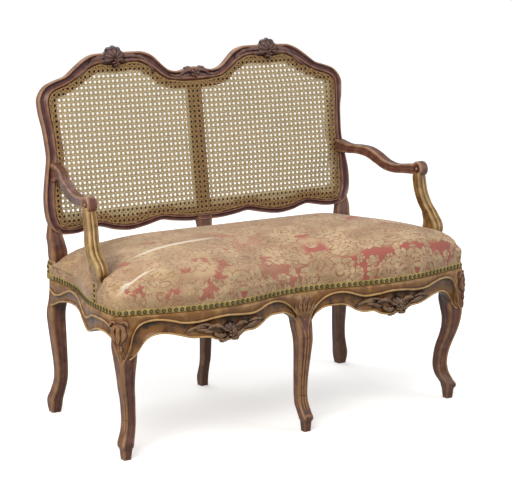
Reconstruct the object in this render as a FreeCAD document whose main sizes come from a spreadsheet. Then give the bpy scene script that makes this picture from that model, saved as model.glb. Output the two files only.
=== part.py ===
import FreeCAD, Part
import Sketcher
import math
import os

# A two-seat settee with a carved frame: a caned back with two humps, open scrolled arms, six
# cabriole legs, serpentine seat rails and a stuffed seat that is tacked over the rails.
# Lengths are in millimetres. +X is the viewer's right, the front faces -Y, +Z is up, and the
# floor is at zero.

Vec = FreeCAD.Vector
doc = FreeCAD.newDocument("settee")
sheet = doc.addObject("Spreadsheet::Sheet", "sizes")

SIZES = {
    # How closely arcs follow a drawn curve
    "arc_tolerance": 0.8,
    # Main sizes: half the width, the reach to the front and the rear, and two heights
    "frame_half": 536,
    "front_reach": 266,
    "rear_reach": 240,
    "rail_height": 405,
    "hump_height": 502,
    # Back frame: steps in from the seat frame's half width, and steps down from the humps
    "back_lean": 8.1,
    "back_thickness": 26,
    "moulding": 30,
    "lower_moulding": 16,
    "cane_margin": 25,
    "cane_rebate": 7,
    "edge_thickness": 5,
    "rear_draw": 11,
    "seat_level_up": 45,
    "back_face_in": 26,
    "back_in": 47,
    "corner_in": 7,
    "ear_in": 33,
    "shoulder_in": 74,
    "waist_in": 16,
    "belly_out": 3,
    "notch_in": 11,
    "stile_foot_in": 43,
    "hump_share": 0.487,
    "hump_half": 72,
    "dip_reach": 55,
    "dip_drop": 60,
    "centre_drop": 50,
    "shoulder_drop": 60,
    "ear_step": 74,
    "corner_drop": 97,
    "back_half_drop": 124,
    "joint_drop": 128,
    "waist_share": 0.482,
    "belly_share": 0.221,
    "notch_height": 50,
    "wave_low": 24,
    "wave_high": 42,
    "wave_end": 31,
    "wave_share": 0.49,
    "wave_fill": 0.417,
    "sill_height": 83,
    "muntin_width": 45,
    "cane_thickness": 2,
    "cane_columns": 14,
    "cane_rows": 8,
    "cane_border": 6,
    "shell_up": 15,
    "shell_radius": 35,
    "carving_stand": 5,
    "flower_radius": 19,
    # Seat frame, in plan
    "rear_in": 6,
    "swell": 38,
    "dip_share": 0.205,
    "bulge_share": 0.2985,
    "corner_radius": 24,
    "side_bulge_in": 2,
    "side_bulge_back": 136,
    "side_turn_in": 22,
    "side_turn_y": -30,
    "side_hollow_in": 42,
    "side_hollow_y": 40,
    "side_end_in": 120,
    # Seat frame, in height: steps down from the rails' top
    "ledge_drop": 40,
    "rail_thickness": 32,
    "rail_rebate": 6,
    "rail_blank_depth": 205,
    "apron_arch_drop": 84,
    "apron_low_drop": 121,
    "apron_end_drop": 97,
    "ear_drop": 22,
    "side_arch_drop": 95,
    "side_step_drop": 112,
    "side_rise_drop": 64,
    "rear_rail_depth": 75,
    "rear_rail_thickness": 24,
    "post_size": 52,
    "centre_post": 52,
    "tenon_thickness": 12,
    "tenon_length": 20,
    "tenon_margin": 12,
    # Legs: steps in from the seat frame, and shares of the height below the apron
    "front_foot_in": 33,
    "front_foot_back": 34,
    "front_ankle_pull": 18,
    "front_knee_in": 31,
    "front_knee_back": 26,
    "front_ankle_half": 13,
    "front_knee_half": 19,
    "front_foot_half": 18,
    "centre_foot_out": 10,
    "centre_ankle_back": 13,
    "centre_knee_back": 4,
    "post_in": 16,
    "post_back_in": 16,
    "rear_foot_in": 5,
    "rear_foot_back_in": 9,
    "rear_ankle_in": 19,
    "rear_ankle_back_in": 20,
    "rear_ankle_half": 13,
    "rear_post_half": 18,
    "rear_centre_half": 12,
    "rear_centre_post_half": 19,
    "foot_height": 25,
    "ankle_share": 0.335,
    "calf_share": 0.528,
    "thigh_share": 0.722,
    "knee_share": 0.863,
    # Arms: steps in from the seat frame or the back, and steps up from the rails' top
    "arm_root_in": 32,
    "arm_root_up": 245,
    "arm_root_half": 22,
    "arm_half_width": 14,
    "arm_half_height": 15,
    "arm_elbow_in": 58,
    "arm_elbow_up": 235,
    "arm_low_in": 49,
    "arm_low_up": 207,
    "knuckle_in": 25,
    "knuckle_back": 191,
    "knuckle_up": 206,
    "knuckle_radius": 21,
    "knuckle_width": 34,
    "support_foot_in": 8,
    "support_foot_back": 102,
    "support_foot_half": 32,
    "support_half": 15,
    # Upholstery: the crown's heights are steps up from the rails' top
    "web_width": 50,
    "web_thickness": 1.2,
    "web_gap": 22,
    "web_hold": 12,
    "hessian_thickness": 1,
    "seat_crown_up": 91,
    "seat_shoulder_up": 41,
    "seat_roll_up": 25,
    "seat_edge_up": 8,
    "crown_share": 0.672,
    "seat_tilt": 2,
    "cover_thickness": 2.5,
    "soft_clearance": 0.3,
    "cloth_slack": 0.4,
    "gimp_height": 12,
    "gimp_thickness": 2,
    "nail_radius": 4.6,
    "nail_height": 2.4,
    "nail_pitch": 15.5,
    # Braces
    "bearer_width": 30,
    "bearer_depth": 55,
    "bearer_hold": 6,
    "block_leg": 78,
    "block_drop": 8,
    "block_height": 40,
}

for row, (alias, value) in enumerate(SIZES.items(), start=1):
    sheet.set(f"A{row}", alias.replace("_", " "))
    sheet.set(f"B{row}", str(value))
    sheet.setAlias(f"B{row}", alias)
doc.recompute()


def size(alias):
    """A size's value, read from the sheet."""
    return float(sheet.get(alias))


# Places across the settee that follow its half width
back_half = size("frame_half") - size("back_in")
corner_reach = back_half - size("corner_in")
ear_reach = back_half - size("ear_in")
shoulder_reach = back_half - size("shoulder_in")
waist_half = back_half - size("waist_in")
belly_half = back_half + size("belly_out")
notch_half = back_half - size("notch_in")
stile_foot_half = back_half - size("stile_foot_in")
hump_reach = size("hump_share") * back_half
wave_reach = size("wave_share") * back_half
wave_half = size("wave_fill") * wave_reach
dip_half = size("dip_share") * size("frame_half")
bulge_half = size("bulge_share") * size("frame_half")
rear_half = back_half - size("rear_in")
rear_post_x = back_half - size("post_in")
rear_foot_x = rear_post_x - size("rear_foot_in")
rear_ankle_x = rear_post_x - size("rear_ankle_in")
front_foot_x = size("frame_half") - size("front_foot_in")
front_knee_x = size("frame_half") - size("front_knee_in")
arm_root_x = back_half - size("arm_root_in")
arm_elbow_x = size("frame_half") - size("arm_elbow_in")
arm_low_x = size("frame_half") - size("arm_low_in")
knuckle_x = size("frame_half") - size("knuckle_in")
support_foot_x = size("frame_half") - size("support_foot_in")

# Places from front to rear that follow the two reaches
back_face = size("rear_reach") - size("back_face_in")
rear_post_y = size("rear_reach") - size("post_back_in")
rear_foot_y = size("rear_reach") - size("rear_foot_back_in")
rear_ankle_y = size("rear_reach") - size("rear_ankle_back_in")
side_end_y = size("rear_reach") - size("side_end_in")
side_bulge_y = size("side_bulge_back") - size("front_reach")
front_foot_y = size("front_foot_back") - size("front_reach")
front_knee_y = size("front_knee_back") - size("front_reach")
centre_foot_y = -size("centre_foot_out") - size("front_reach")
centre_ankle_y = size("centre_ankle_back") - size("front_reach")
centre_knee_y = size("centre_knee_back") - size("front_reach")
knuckle_y = size("knuckle_back") - size("front_reach")
support_foot_y = size("support_foot_back") - size("front_reach")

# Heights that follow the rails' top, and heights up the back that follow the humps
seat_level = size("rail_height") + size("seat_level_up")
ledge_height = size("rail_height") - size("ledge_drop")
rail_blank_low = size("rail_height") - size("rail_blank_depth")
apron_arch = size("rail_height") - size("apron_arch_drop")
apron_low = size("rail_height") - size("apron_low_drop")
apron_end = size("rail_height") - size("apron_end_drop")
side_arch = size("rail_height") - size("side_arch_drop")
side_step = size("rail_height") - size("side_step_drop")
side_rise = size("rail_height") - size("side_rise_drop")
rear_rail_bottom = size("rail_height") - size("rear_rail_depth")
ankle_height = size("ankle_share") * apron_low
calf_height = size("calf_share") * apron_low
thigh_height = size("thigh_share") * apron_low
knee_height = size("knee_share") * apron_low
arm_root_z = size("rail_height") + size("arm_root_up")
arm_elbow_z = size("rail_height") + size("arm_elbow_up")
arm_low_z = size("rail_height") + size("arm_low_up")
knuckle_z = size("rail_height") + size("knuckle_up")
seat_crown = size("rail_height") + size("seat_crown_up")
seat_shoulder = size("rail_height") + size("seat_shoulder_up")
seat_roll = size("rail_height") + size("seat_roll_up")
seat_edge = size("rail_height") + size("seat_edge_up")
shell_height = size("hump_height") + size("shell_up")
dip_height = size("hump_height") - size("dip_drop")
centre_height = size("hump_height") - size("centre_drop")
shoulder_height = size("hump_height") - size("shoulder_drop")
ear_height = size("hump_height") - size("ear_step")
corner_height = size("hump_height") - size("corner_drop")
back_half_height = size("hump_height") - size("back_half_drop")
joint_height = size("hump_height") - size("joint_drop")
waist_height = size("waist_share") * size("hump_height")
belly_height = size("belly_share") * size("hump_height")


pieces = {}


def keep(label, shape):
    """Store a finished shape as a named sub-part."""
    piece = doc.addObject("Part::Feature", label)
    piece.Label = label
    piece.Shape = shape
    pieces[label] = piece
    return piece


def mirrored(shape):
    """The same shape on the other side of the settee's middle plane."""
    return shape.mirror(Vec(0, 0, 0), Vec(1, 0, 0))


def keep_pair(label, right_shape):
    """Store a right-hand piece and its left-hand mirror image."""
    keep(label + "_right", right_shape)
    keep(label + "_left", mirrored(right_shape))


def curve(points):
    """A smooth run of tangent arcs through a few points."""
    spline = Part.BSplineCurve()
    spline.interpolate([Vec(*point) for point in points])
    return [piece.toShape() for piece in spline.toBiArcs(size("arc_tolerance"))]


def arc(start, middle, end):
    return Part.Arc(Vec(*start), Vec(*middle), Vec(*end)).toShape()


def line(start, end):
    return Part.makeLine(Vec(*start), Vec(*end))


def box_between(low, high):
    """A box given by its two opposite corners."""
    low_corner = Vec(*low)
    high_corner = Vec(*high)
    diagonal = high_corner - low_corner
    return Part.makeBox(diagonal.x, diagonal.y, diagonal.z, low_corner)


def one_solid(shape):
    """The largest solid of a shape, with needless seams removed."""
    solids = sorted(shape.Solids, key=lambda solid: solid.Volume)
    return solids[-1].removeSplitter()


# Back frame outlines. Each is drawn flat, x across and y up the back, and later turned up to lean.

def lean_back(shape, front_depth=0.0):
    """Turn a flat back shape up into the leaning plane, set behind its face by front_depth."""
    placed = shape.copy()
    placed.translate(Vec(0, 0, -front_depth))
    placed.rotate(Vec(0, 0, 0), Vec(1, 0, 0), 90 - size("back_lean"))
    placed.translate(Vec(0, back_face, seat_level))
    return placed


def top_span(inset):
    """The crest's line from the middle to the right corner, moved inwards by inset."""
    hump_in = hump_reach - size("hump_half")
    hump_out = hump_reach + size("hump_half")
    rise_x = (size("dip_reach") + hump_in) / 2
    rise_y = (dip_height + size("hump_height")) / 2
    fall_x = (hump_out + shoulder_reach) / 2
    fall_y = (size("hump_height") + shoulder_height) / 2
    drawn = [
        (0, centre_height, 0, -1),
        (size("dip_reach"), dip_height, 0, -1),
        (rise_x, rise_y, 0.67, -0.74),
        (hump_in, size("hump_height") - 1, 0.15, -0.99),
        (hump_reach, size("hump_height"), 0, -1),
        (hump_out, size("hump_height") - 3, -0.15, -0.99),
        (fall_x, fall_y, -0.6, -0.8),
        (shoulder_reach, shoulder_height, -0.2, -0.98),
    ]
    span = [(x + inset * go_x, y + inset * go_y) for x, y, go_x, go_y in drawn]
    if inset == 0:
        span.append((ear_reach, ear_height))
        span.append((corner_reach, corner_height))
        span.append((back_half, back_half_height))
    else:
        span.append((back_half - 5 - inset, ear_height + 2 - inset))
    return span


def lower_lift(inset):
    """How far the lower rail's line moves up the back when the outline moves inwards."""
    if inset < size("moulding"):
        return inset * size("lower_moulding") / size("moulding")
    return size("lower_moulding") + inset - size("moulding")


def side_span(inset, at_sill):
    """The stile's line from the upper corner down to the lower one."""
    upper = top_span(inset)[-1]
    middle = [
        ((back_half + waist_half) / 2 - inset, (back_half_height + waist_height) / 2),
        (waist_half - inset, waist_height),
        ((belly_half + waist_half) / 2 - inset, (belly_height + waist_height) / 2),
        (belly_half - inset, belly_height),
    ]
    if inset == 0:
        lower = (notch_half, size("notch_height"))
    elif at_sill:
        lower = (belly_half - 16 - inset, size("sill_height"))
    else:
        lower = (belly_half - 16 - inset, size("wave_end") + lower_lift(inset))
    return [upper] + middle + [lower]


def bottom_span(inset, at_sill):
    """The lower rail's line from the right corner to the middle."""
    corner = side_span(inset, at_sill)[-1]
    if at_sill:
        return [corner, (0, size("sill_height"))]
    up = lower_lift(inset)
    reach = wave_reach
    half = wave_half
    end_x = stile_foot_half if inset == 0 else corner[0] - 30
    drawn = [
        (end_x, size("wave_end") + up),
        (reach + 1.65 * half, size("wave_end") + up),
        (reach + half, size("wave_high") + up),
        (reach, size("wave_low") + up),
        (reach - half, size("wave_high") + up),
        (reach - 2 * half, size("wave_end") + up),
        (0, size("wave_end") - 1 + up),
    ]
    return [corner] + drawn


def mirror_points(span):
    """A half outline that starts or ends on the middle line, made whole."""
    other = [(-x, y) for x, y in reversed(span)]
    if span[0][0] == 0:
        return other[:-1] + span
    return span + other[1:]


def back_loop(inset, at_sill=False):
    """A closed outline of the back frame, moved inwards by inset."""
    top = mirror_points(top_span(inset))
    side = side_span(inset, at_sill)
    bottom = mirror_points(bottom_span(inset, at_sill))
    flat = [(x, y, 0) for x, y in top]
    right = [(x, y, 0) for x, y in side]
    under = [(x, y, 0) for x, y in bottom]
    left = [(-x, y, z) for x, y, z in reversed(right)]
    lower = [line(under[0], under[-1])] if len(under) == 3 else curve(under)
    return Part.Wire(curve(flat) + curve(right) + lower + curve(left))


def back_slab(loops, front_depth, thickness):
    """A slab between the outer loop and the inner ones, at a depth behind the back's face."""
    face = Part.makeFace([Part.Wire(loop.Edges) for loop in loops], "Part::FaceMakerCheese")
    slab = face.extrude(Vec(0, 0, -thickness))
    return lean_back(slab, front_depth)


def back_region(x_low, x_high, y_low, y_high):
    """A block that picks out a stretch of the back frame."""
    depth = size("back_thickness") + 60
    block = box_between((x_low, y_low, -depth), (x_high, y_high, depth))
    return lean_back(block)


def scallop(centre_x, centre_y, radius, lobes):
    """A shell's outline: a fan of small arcs on a straight base."""
    edges = []
    first = -20.0
    step = (180.0 - 2 * first) / lobes
    corners = []
    for index in range(lobes + 1):
        angle = math.radians(first + step * index)
        corners.append(Vec(centre_x + radius * math.cos(angle), centre_y + radius * math.sin(angle), 0))
    for index in range(lobes):
        angle = math.radians(first + step * (index + 0.5))
        crest = Vec(centre_x + 1.08 * radius * math.cos(angle), centre_y + 1.08 * radius * math.sin(angle), 0)
        edges.append(Part.Arc(corners[index], crest, corners[index + 1]).toShape())
    edges.append(Part.makeLine(corners[-1], corners[0]))
    return Part.Wire(edges)


outer_loop = back_loop(0)
moulding_loop = back_loop(size("moulding"))
opening_loop = back_loop(size("moulding") + size("cane_margin"), at_sill=True)
front_band = back_slab([outer_loop, moulding_loop], 0, size("cane_rebate"))
edge_depth = size("cane_rebate") + size("edge_thickness")
middle_band = back_slab([outer_loop, opening_loop], size("cane_rebate"), size("edge_thickness"))
rear_loop = back_loop(size("rear_draw"))
rear_band = back_slab([rear_loop, opening_loop], edge_depth, size("back_thickness") - edge_depth)
back_ring = front_band.fuse(middle_band).fuse(rear_band)

# Crest rail: the two humps with a carved shell on each and a flower in the middle dip

def crest_rail():
    reach = back_half + size("moulding")
    rail = back_ring.common(back_region(-reach, reach, joint_height, shell_height + size("moulding")))
    stand = size("carving_stand")
    shell_y = shell_height - 1.08 * size("shell_radius")
    depth = stand + size("back_thickness") - size("cane_rebate")
    opening_clear = back_slab([moulding_loop], -2 * stand, 4 * size("back_thickness"))
    for side in (-1, 1):
        outline = scallop(side * (hump_reach + 9), shell_y, size("shell_radius"), 7)
        shell = lean_back(Part.Face(outline).extrude(Vec(0, 0, -depth)), -stand)
        rail = rail.fuse(shell.cut(opening_clear))
    middle_y = centre_height - size("flower_radius")
    outline = scallop(0, middle_y, size("flower_radius"), 7)
    flower = lean_back(Part.Face(outline).extrude(Vec(0, 0, -depth)), -stand)
    rail = rail.fuse(flower.cut(opening_clear))
    return one_solid(rail)


# Lower back rail: a waved strip between the stiles, with the centre leg's head below it

def bottom_region():
    reach = stile_foot_half
    return back_region(-reach, reach, 0, size("sill_height") + 1)


def back_bottom_rail():
    return one_solid(back_ring.common(bottom_region()))


# Legs: smooth lofts through square sections with cut corners

def octagon(centre, half_u, half_v, upright):
    """A square section with cut corners, lying flat or standing across the settee's depth."""
    cut = 0.35 * min(half_u, half_v)
    ring = [
        (half_u, half_v - cut), (half_u - cut, half_v), (cut - half_u, half_v), (-half_u, half_v - cut),
        (-half_u, cut - half_v), (cut - half_u, -half_v), (half_u - cut, -half_v), (half_u, cut - half_v),
    ]
    corners = []
    for u, v in ring:
        step = Vec(u, 0, v) if upright else Vec(u, v, 0)
        corners.append(Vec(*centre) + step)
    return corners


def flat_loft(rings):
    """A loft through rings of corners, with every side cut into flat three-cornered facets."""
    faces = []
    for lower, upper in zip(rings, rings[1:]):
        around = list(range(len(lower)))
        for here, after in zip(around, around[1:] + around[:1]):
            for corners in ((lower[here], lower[after], upper[after]), (lower[here], upper[after], upper[here])):
                faces.append(Part.Face(Part.makePolygon(corners + corners[:1])))
    for ring in (rings[0], rings[-1]):
        faces.append(Part.Face(Part.makePolygon(ring + ring[:1])))
    shell = Part.Shell(faces)
    shell.sewShape()
    solid = Part.Solid(shell)
    if solid.Volume < 0:
        solid.reverse()
    return solid


def smooth(stations):
    """The stations with one more eased in between each neighbouring pair."""
    padded = stations[:1] + stations + stations[-1:]
    eased = []
    for before, start, end, after in zip(padded, padded[1:], padded[2:], padded[3:]):
        for share in (0, 0.5):
            square = share * share
            cube = square * share
            weights = (
                (2 * square - share - cube) / 2,
                (2 - 5 * square + 3 * cube) / 2,
                (share + 4 * square - 3 * cube) / 2,
                (cube - square) / 2,
            )
            values = zip(before, start, end, after)
            eased.append(tuple(sum(w * v for w, v in zip(weights, column)) for column in values))
    return eased + [stations[-1]]


def loft(stations, upright=False):
    """A bar through stations of x, y, z and the section's two halves."""
    return flat_loft([octagon((x, y, z), half_u, half_v, upright) for x, y, z, half_u, half_v in smooth(stations)])


def front_leg_blank():
    """The right front corner leg below the rails."""
    foot_x = front_foot_x
    foot_y = front_foot_y
    pull = size("front_ankle_pull")
    foot = size("front_foot_half")
    ankle = size("front_ankle_half")
    knee = size("front_knee_half")
    post_x = size("frame_half") - size("post_size") / 2
    post_y = corner_line_y() + size("post_size") / 2
    half = size("post_size") / 2
    return loft([
        (foot_x, foot_y, 0, foot - 2, foot - 2),
        (foot_x, foot_y, size("foot_height"), foot, foot),
        (foot_x - 0.75 * pull, foot_y + 0.75 * pull, (size("foot_height") + ankle_height) / 2, ankle + 1, ankle + 1),
        (foot_x - pull, foot_y + pull, ankle_height, ankle, ankle),
        (foot_x - 0.7 * pull, foot_y + 0.6 * pull, calf_height, ankle + 1, ankle + 1),
        (front_knee_x - 2, front_knee_y + 2, thigh_height, knee - 3, knee - 3),
        (front_knee_x, front_knee_y, knee_height, knee, knee),
        (post_x - 3, post_y - 3, apron_low, half - 2, half - 2),
        (post_x, post_y, apron_arch, half - 3, half - 3),
    ])


def centre_leg_blank():
    """The front centre leg below the rails."""
    ankle = size("front_ankle_half") + 0.5
    foot = size("front_foot_half") - 1
    half = size("centre_post") / 2
    post_y = half - size("front_reach")
    return loft([
        (0, centre_foot_y, 0, foot - 2, foot - 2),
        (0, centre_foot_y + 1, size("foot_height"), foot, foot),
        (0, (centre_foot_y + centre_ankle_y) / 2, (size("foot_height") + ankle_height) / 2, ankle, ankle),
        (0, centre_ankle_y, ankle_height, ankle, ankle),
        (0, centre_ankle_y - 1, calf_height, ankle + 1, ankle + 1),
        (0, centre_knee_y, thigh_height, ankle + 4, ankle + 3),
        (0, centre_knee_y - 2, knee_height, ankle + 8, ankle + 6),
        (0, post_y - 2, apron_low, half - 2, half - 1),
        (0, post_y, apron_arch, half - 3, half - 3),
    ])


def rear_leg_blank():
    """The right rear leg up to the back frame's notch."""
    ankle = size("rear_ankle_half")
    post = size("rear_post_half")
    stile_y = back_face + size("back_thickness") / 2
    return loft([
        (rear_foot_x, rear_foot_y, 0, ankle + 2, ankle + 2),
        (rear_foot_x, rear_foot_y, size("foot_height") - 5, ankle + 4, ankle + 4),
        (rear_foot_x - 8, rear_foot_y - 6, (size("foot_height") + ankle_height) / 2, ankle + 1, ankle + 1),
        (rear_ankle_x, rear_ankle_y, ankle_height, ankle, ankle),
        (rear_ankle_x, rear_ankle_y, calf_height, ankle + 1, ankle + 1),
        (rear_ankle_x + 6, rear_ankle_y + 2, knee_height, ankle + 3, ankle + 2),
        (rear_post_x - 4, rear_post_y, rear_rail_bottom, post, post - 2),
        (rear_post_x, rear_post_y, size("rail_height"), post, post - 3),
        (rear_post_x, stile_y, seat_level, post, post - 4),
        (rear_post_x, stile_y + 8, seat_level + size("notch_height") + 8, post - 6, post - 8),
    ])


def rear_centre_leg_blank():
    """The rear centre leg up into the lower back rail."""
    ankle = size("rear_centre_half")
    post = size("rear_centre_post_half")
    stile_y = back_face + size("back_thickness") / 2
    return loft([
        (0, rear_foot_y + 10, 0, ankle, ankle),
        (0, rear_foot_y + 11, size("foot_height"), ankle + 1, ankle + 1),
        (0, rear_foot_y + 1, (size("foot_height") + ankle_height) / 2, ankle, ankle),
        (0, rear_ankle_y + 6, ankle_height, ankle, ankle),
        (0, rear_post_y + 1, thigh_height, ankle + 1, ankle + 1),
        (0, rear_post_y + 1, rear_rail_bottom, post - 3, ankle + 3),
        (0, rear_post_y + 1, size("rail_height"), post - 2, ankle + 2),
        (0, stile_y, seat_level, post, ankle + 1),
        (0, stile_y + 6, seat_level + size("wave_high") + 4, post + 4, ankle),
    ])


# Seat frame in plan: the outline is made of arcs and lines, and can be moved inwards

def seat_points(inset):
    """The right half of the seat frame's outline as named points."""
    half = size("frame_half")
    shrink = (half - inset) / half
    dip = dip_half * shrink
    bulge = bulge_half * shrink
    share = size("swell") / (dip_half + bulge_half)
    front = inset - size("front_reach")
    turn_y = front - share * dip_half
    slope = 2 * share * bulge_half / bulge
    radius = max(size("corner_radius") - inset, 2.0)
    end_x = half - inset - radius
    end_y = turn_y + slope * (end_x - dip - 2 * bulge)
    depth_half = (size("front_reach") + size("rear_reach")) / 2
    depth_middle = (size("rear_reach") - size("front_reach")) / 2
    deep = (depth_half - inset) / depth_half
    diagonal = radius * math.sqrt(0.5)

    def pull(y):
        return depth_middle + (y - depth_middle) * deep

    return {
        "middle": (0, front),
        "turn": (dip, turn_y),
        "bulge": (dip + bulge, front - size("swell")),
        "far_turn": (dip + 2 * bulge, turn_y),
        "line_end": (end_x, end_y),
        "corner": (end_x + diagonal, end_y + radius - diagonal),
        "side_start": (half - inset, end_y + radius),
        "side_bulge": (half - size("side_bulge_in") - inset, pull(side_bulge_y)),
        "side_turn": (half - size("side_turn_in") - inset, pull(size("side_turn_y"))),
        "side_hollow": (half - size("side_hollow_in") - inset, pull(size("side_hollow_y"))),
        "side_end": (rear_half - inset, pull(side_end_y)),
        "rear": (rear_half - inset, size("rear_reach") - inset),
    }


def corner_line_y():
    """Where the front line meets the corner's rounding."""
    return seat_points(0)["line_end"][1]


def side_edges(inset, height, side):
    """The edges from the front's middle dip round to the rear corner on one side."""
    at = {name: (side * x, y, height) for name, (x, y) in seat_points(inset).items()}
    return [
        arc(at["turn"], at["bulge"], at["far_turn"]),
        line(at["far_turn"], at["line_end"]),
        arc(at["line_end"], at["corner"], at["side_start"]),
        arc(at["side_start"], at["side_bulge"], at["side_turn"]),
        arc(at["side_turn"], at["side_hollow"], at["side_end"]),
        line(at["side_end"], at["rear"]),
    ]


def seat_loop(inset, height):
    """The whole outline of the seat frame at a height."""
    points = seat_points(inset)
    turn_x, turn_y = points["turn"]
    rear_x, rear_y = points["rear"]
    middle = arc((-turn_x, turn_y, height), (0, points["middle"][1], height), (turn_x, turn_y, height))
    rear = line((rear_x, rear_y, height), (-rear_x, rear_y, height))
    edges = [middle] + side_edges(inset, height, 1) + [rear] + side_edges(inset, height, -1)
    return Part.Wire(Part.__sortEdges__(edges))


def seat_prism(inset, low, high):
    return Part.Face(seat_loop(inset, low)).extrude(Vec(0, 0, high - low))


def soft_ring(inset, height):
    """The corners of the seat frame's outline in short stretches, for the cloth and what it holds."""
    points = seat_points(inset)
    turn_x, turn_y = points["turn"]
    middle = arc((-turn_x, turn_y, height), (0, points["middle"][1], height), (turn_x, turn_y, height))
    front = middle.discretize(Number=9)
    right = []
    for edge, stretches in zip(side_edges(inset, height, 1), (10, 1, 3, 6, 6, 1)):
        run = edge.discretize(Number=stretches + 1)
        right += run[1:]
    left = [Vec(-corner.x, corner.y, corner.z) for corner in reversed(right)]
    return front + right + left


def soft_prism(inset, low, high):
    ring = soft_ring(inset, low)
    return Part.Face(Part.makePolygon(ring + ring[:1])).extrude(Vec(0, 0, high - low))


far = 1000
frame_band = seat_prism(0, rail_blank_low, ledge_height)
frame_band = frame_band.fuse(seat_prism(size("rail_rebate"), ledge_height, size("rail_height")))
rail_band = frame_band.cut(seat_prism(size("rail_thickness"), rail_blank_low - 10, size("rail_height") + 10))


def post(x_low, x_high, y_low, y_high):
    """The square head of a leg, shaped by the seat frame's outline."""
    block = box_between((x_low, y_low, apron_arch - 22), (x_high, y_high, size("rail_height")))
    return frame_band.common(block)


post_inner_x = size("frame_half") - size("post_size")
post_inner_y = corner_line_y() + size("post_size")
centre_half = size("centre_post") / 2
centre_inner_y = size("centre_post") - size("front_reach")

front_leg = front_leg_blank().fuse(post(post_inner_x, far, -far, post_inner_y))
centre_leg = centre_leg_blank().fuse(post(-centre_half, centre_half, -far, centre_inner_y))
stile_ring = back_ring.common(back_region(0, far, size("notch_height") - 1, joint_height))
stile = stile_ring.cut(bottom_region())
rear_leg = rear_leg_blank().cut(bottom_region()).fuse(one_solid(stile))
rear_centre_leg = rear_centre_leg_blank().cut(back_ring)


# Rails: a curved band in plan, cut to its outline in the front or the side view

def front_outline():
    """The right front rail's lower line, arched beside each leg and hanging in the middle."""
    left = centre_half - 2
    right = post_inner_x + 2
    middle = (left + right) / 2
    half = (right - left) / 2
    lower = [
        (left, 0, apron_end - size("ear_drop")),
        (left + 0.10 * half, 0, apron_end),
        (left + 0.20 * half, 0, apron_arch - 3),
        (left + 0.34 * half, 0, apron_arch),
        (left + 0.62 * half, 0, (apron_arch + apron_low) / 2),
        (middle, 0, apron_low),
        (right - 0.60 * half, 0, (apron_arch + apron_low) / 2),
        (right - 0.25 * half, 0, apron_arch),
        (right - 0.12 * half, 0, apron_end),
        (right, 0, apron_end - size("ear_drop")),
    ]
    top = size("rail_height") + 10
    edges = curve(lower)
    edges.append(line(lower[-1], (right, 0, top)))
    edges.append(line((right, 0, top), (left, 0, top)))
    edges.append(line((left, 0, top), lower[0]))
    prism = Part.Face(Part.Wire(edges)).extrude(Vec(0, -2 * far, 0))
    return prism


def side_outline():
    """The side rail's lower line: low beside the front leg, with a step up to the rear."""
    front = post_inner_y - 2
    end = rear_post_y - size("rear_post_half") + 1
    run = end - front
    lower = [
        (0, front, side_arch - 14),
        (0, front + 0.087 * run, side_arch - 1),
        (0, front + 0.132 * run, side_arch),
        (0, front + 0.273 * run, side_step + 1),
        (0, front + 0.333 * run, side_step + 3),
        (0, front + 0.400 * run, (side_step + side_rise) / 2 + 5),
        (0, front + 0.482 * run, side_rise - 5),
        (0, front + 0.598 * run, side_rise),
        (0, front + 0.930 * run, side_rise - 1),
        (0, front + 0.975 * run, side_rise - 12),
        (0, end, side_rise - 30),
    ]
    top = size("rail_height") + 10
    edges = curve(lower)
    edges.append(line(lower[-1], (0, end, top)))
    edges.append(line((0, end, top), (0, front, top)))
    edges.append(line((0, front, top), lower[0]))
    return Part.Face(Part.Wire(edges)).extrude(Vec(far, 0, 0))


tenon_low = apron_arch + size("tenon_margin") / 2
tenon_high = size("rail_height") - size("tenon_margin")


def tenon(x_middle, y_middle, x_half, y_half, low, high):
    return box_between((x_middle - x_half, y_middle - y_half, low), (x_middle + x_half, y_middle + y_half, high))


half_tenon = size("tenon_thickness") / 2
tenon_length = size("tenon_length")
line_y = corner_line_y()
rail_middle = size("rail_thickness") / 2 + 3
front_tenon = tenon(post_inner_x, line_y + rail_middle - 6, tenon_length, half_tenon, tenon_low, tenon_high)
centre_tenon_y = seat_points(0)["middle"][1] + rail_middle - 1
centre_tenon = tenon(centre_half, centre_tenon_y, tenon_length - 3, half_tenon, tenon_low, tenon_high)
side_x = size("frame_half") - rail_middle
side_tenon = tenon(side_x, post_inner_y, half_tenon, tenon_length, tenon_low, tenon_high)
rear_x = rear_half - rail_middle
rear_side_y = rear_post_y - size("rear_post_half") + 2
rear_low = side_rise + size("tenon_margin") / 2
rear_side_tenon = tenon(rear_x, rear_side_y, half_tenon - 1, tenon_length - 4, rear_low, tenon_high)

front_rail = rail_band.common(front_outline()).cut(front_leg).cut(centre_leg)
front_rail = one_solid(one_solid(front_rail).fuse(front_tenon).fuse(centre_tenon))
side_rail = rail_band.common(side_outline()).cut(front_leg).cut(rear_leg)
side_rail = one_solid(one_solid(side_rail).fuse(side_tenon).fuse(rear_side_tenon))

# Rear rails: straight bars between the posts, with a tenon on each end

def bound_box(label, low, high):
    """A block whose two corners are formulas on the sheet's cells."""
    block = doc.addObject("Part::Box", label)
    for name, start, end in zip(("Length", "Width", "Height"), low, high):
        block.setExpression(name, f"({end}) - ({start})")
    for axis, start in zip("xyz", low):
        block.setExpression(f".Placement.Base.{axis}", start)
    return block


def fitted(label, blank, neighbours, tenons=()):
    """A bound blank cut to fit its neighbours, with its tenons added."""
    around = doc.addObject("Part::Feature", label + "_neighbours")
    around.Shape = Part.makeCompound(neighbours)
    cut = doc.addObject("Part::Cut", label + "_shoulders" if tenons else label)
    cut.Base = blank
    cut.Tool = around
    cut.Refine = True
    if not tenons:
        pieces[label] = cut
        doc.recompute()
        return cut.Shape
    joined = doc.addObject("Part::MultiFuse", label)
    joined.Shapes = [cut] + list(tenons)
    joined.Refine = True
    pieces[label] = joined
    doc.recompute()
    return joined.Shape


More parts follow.
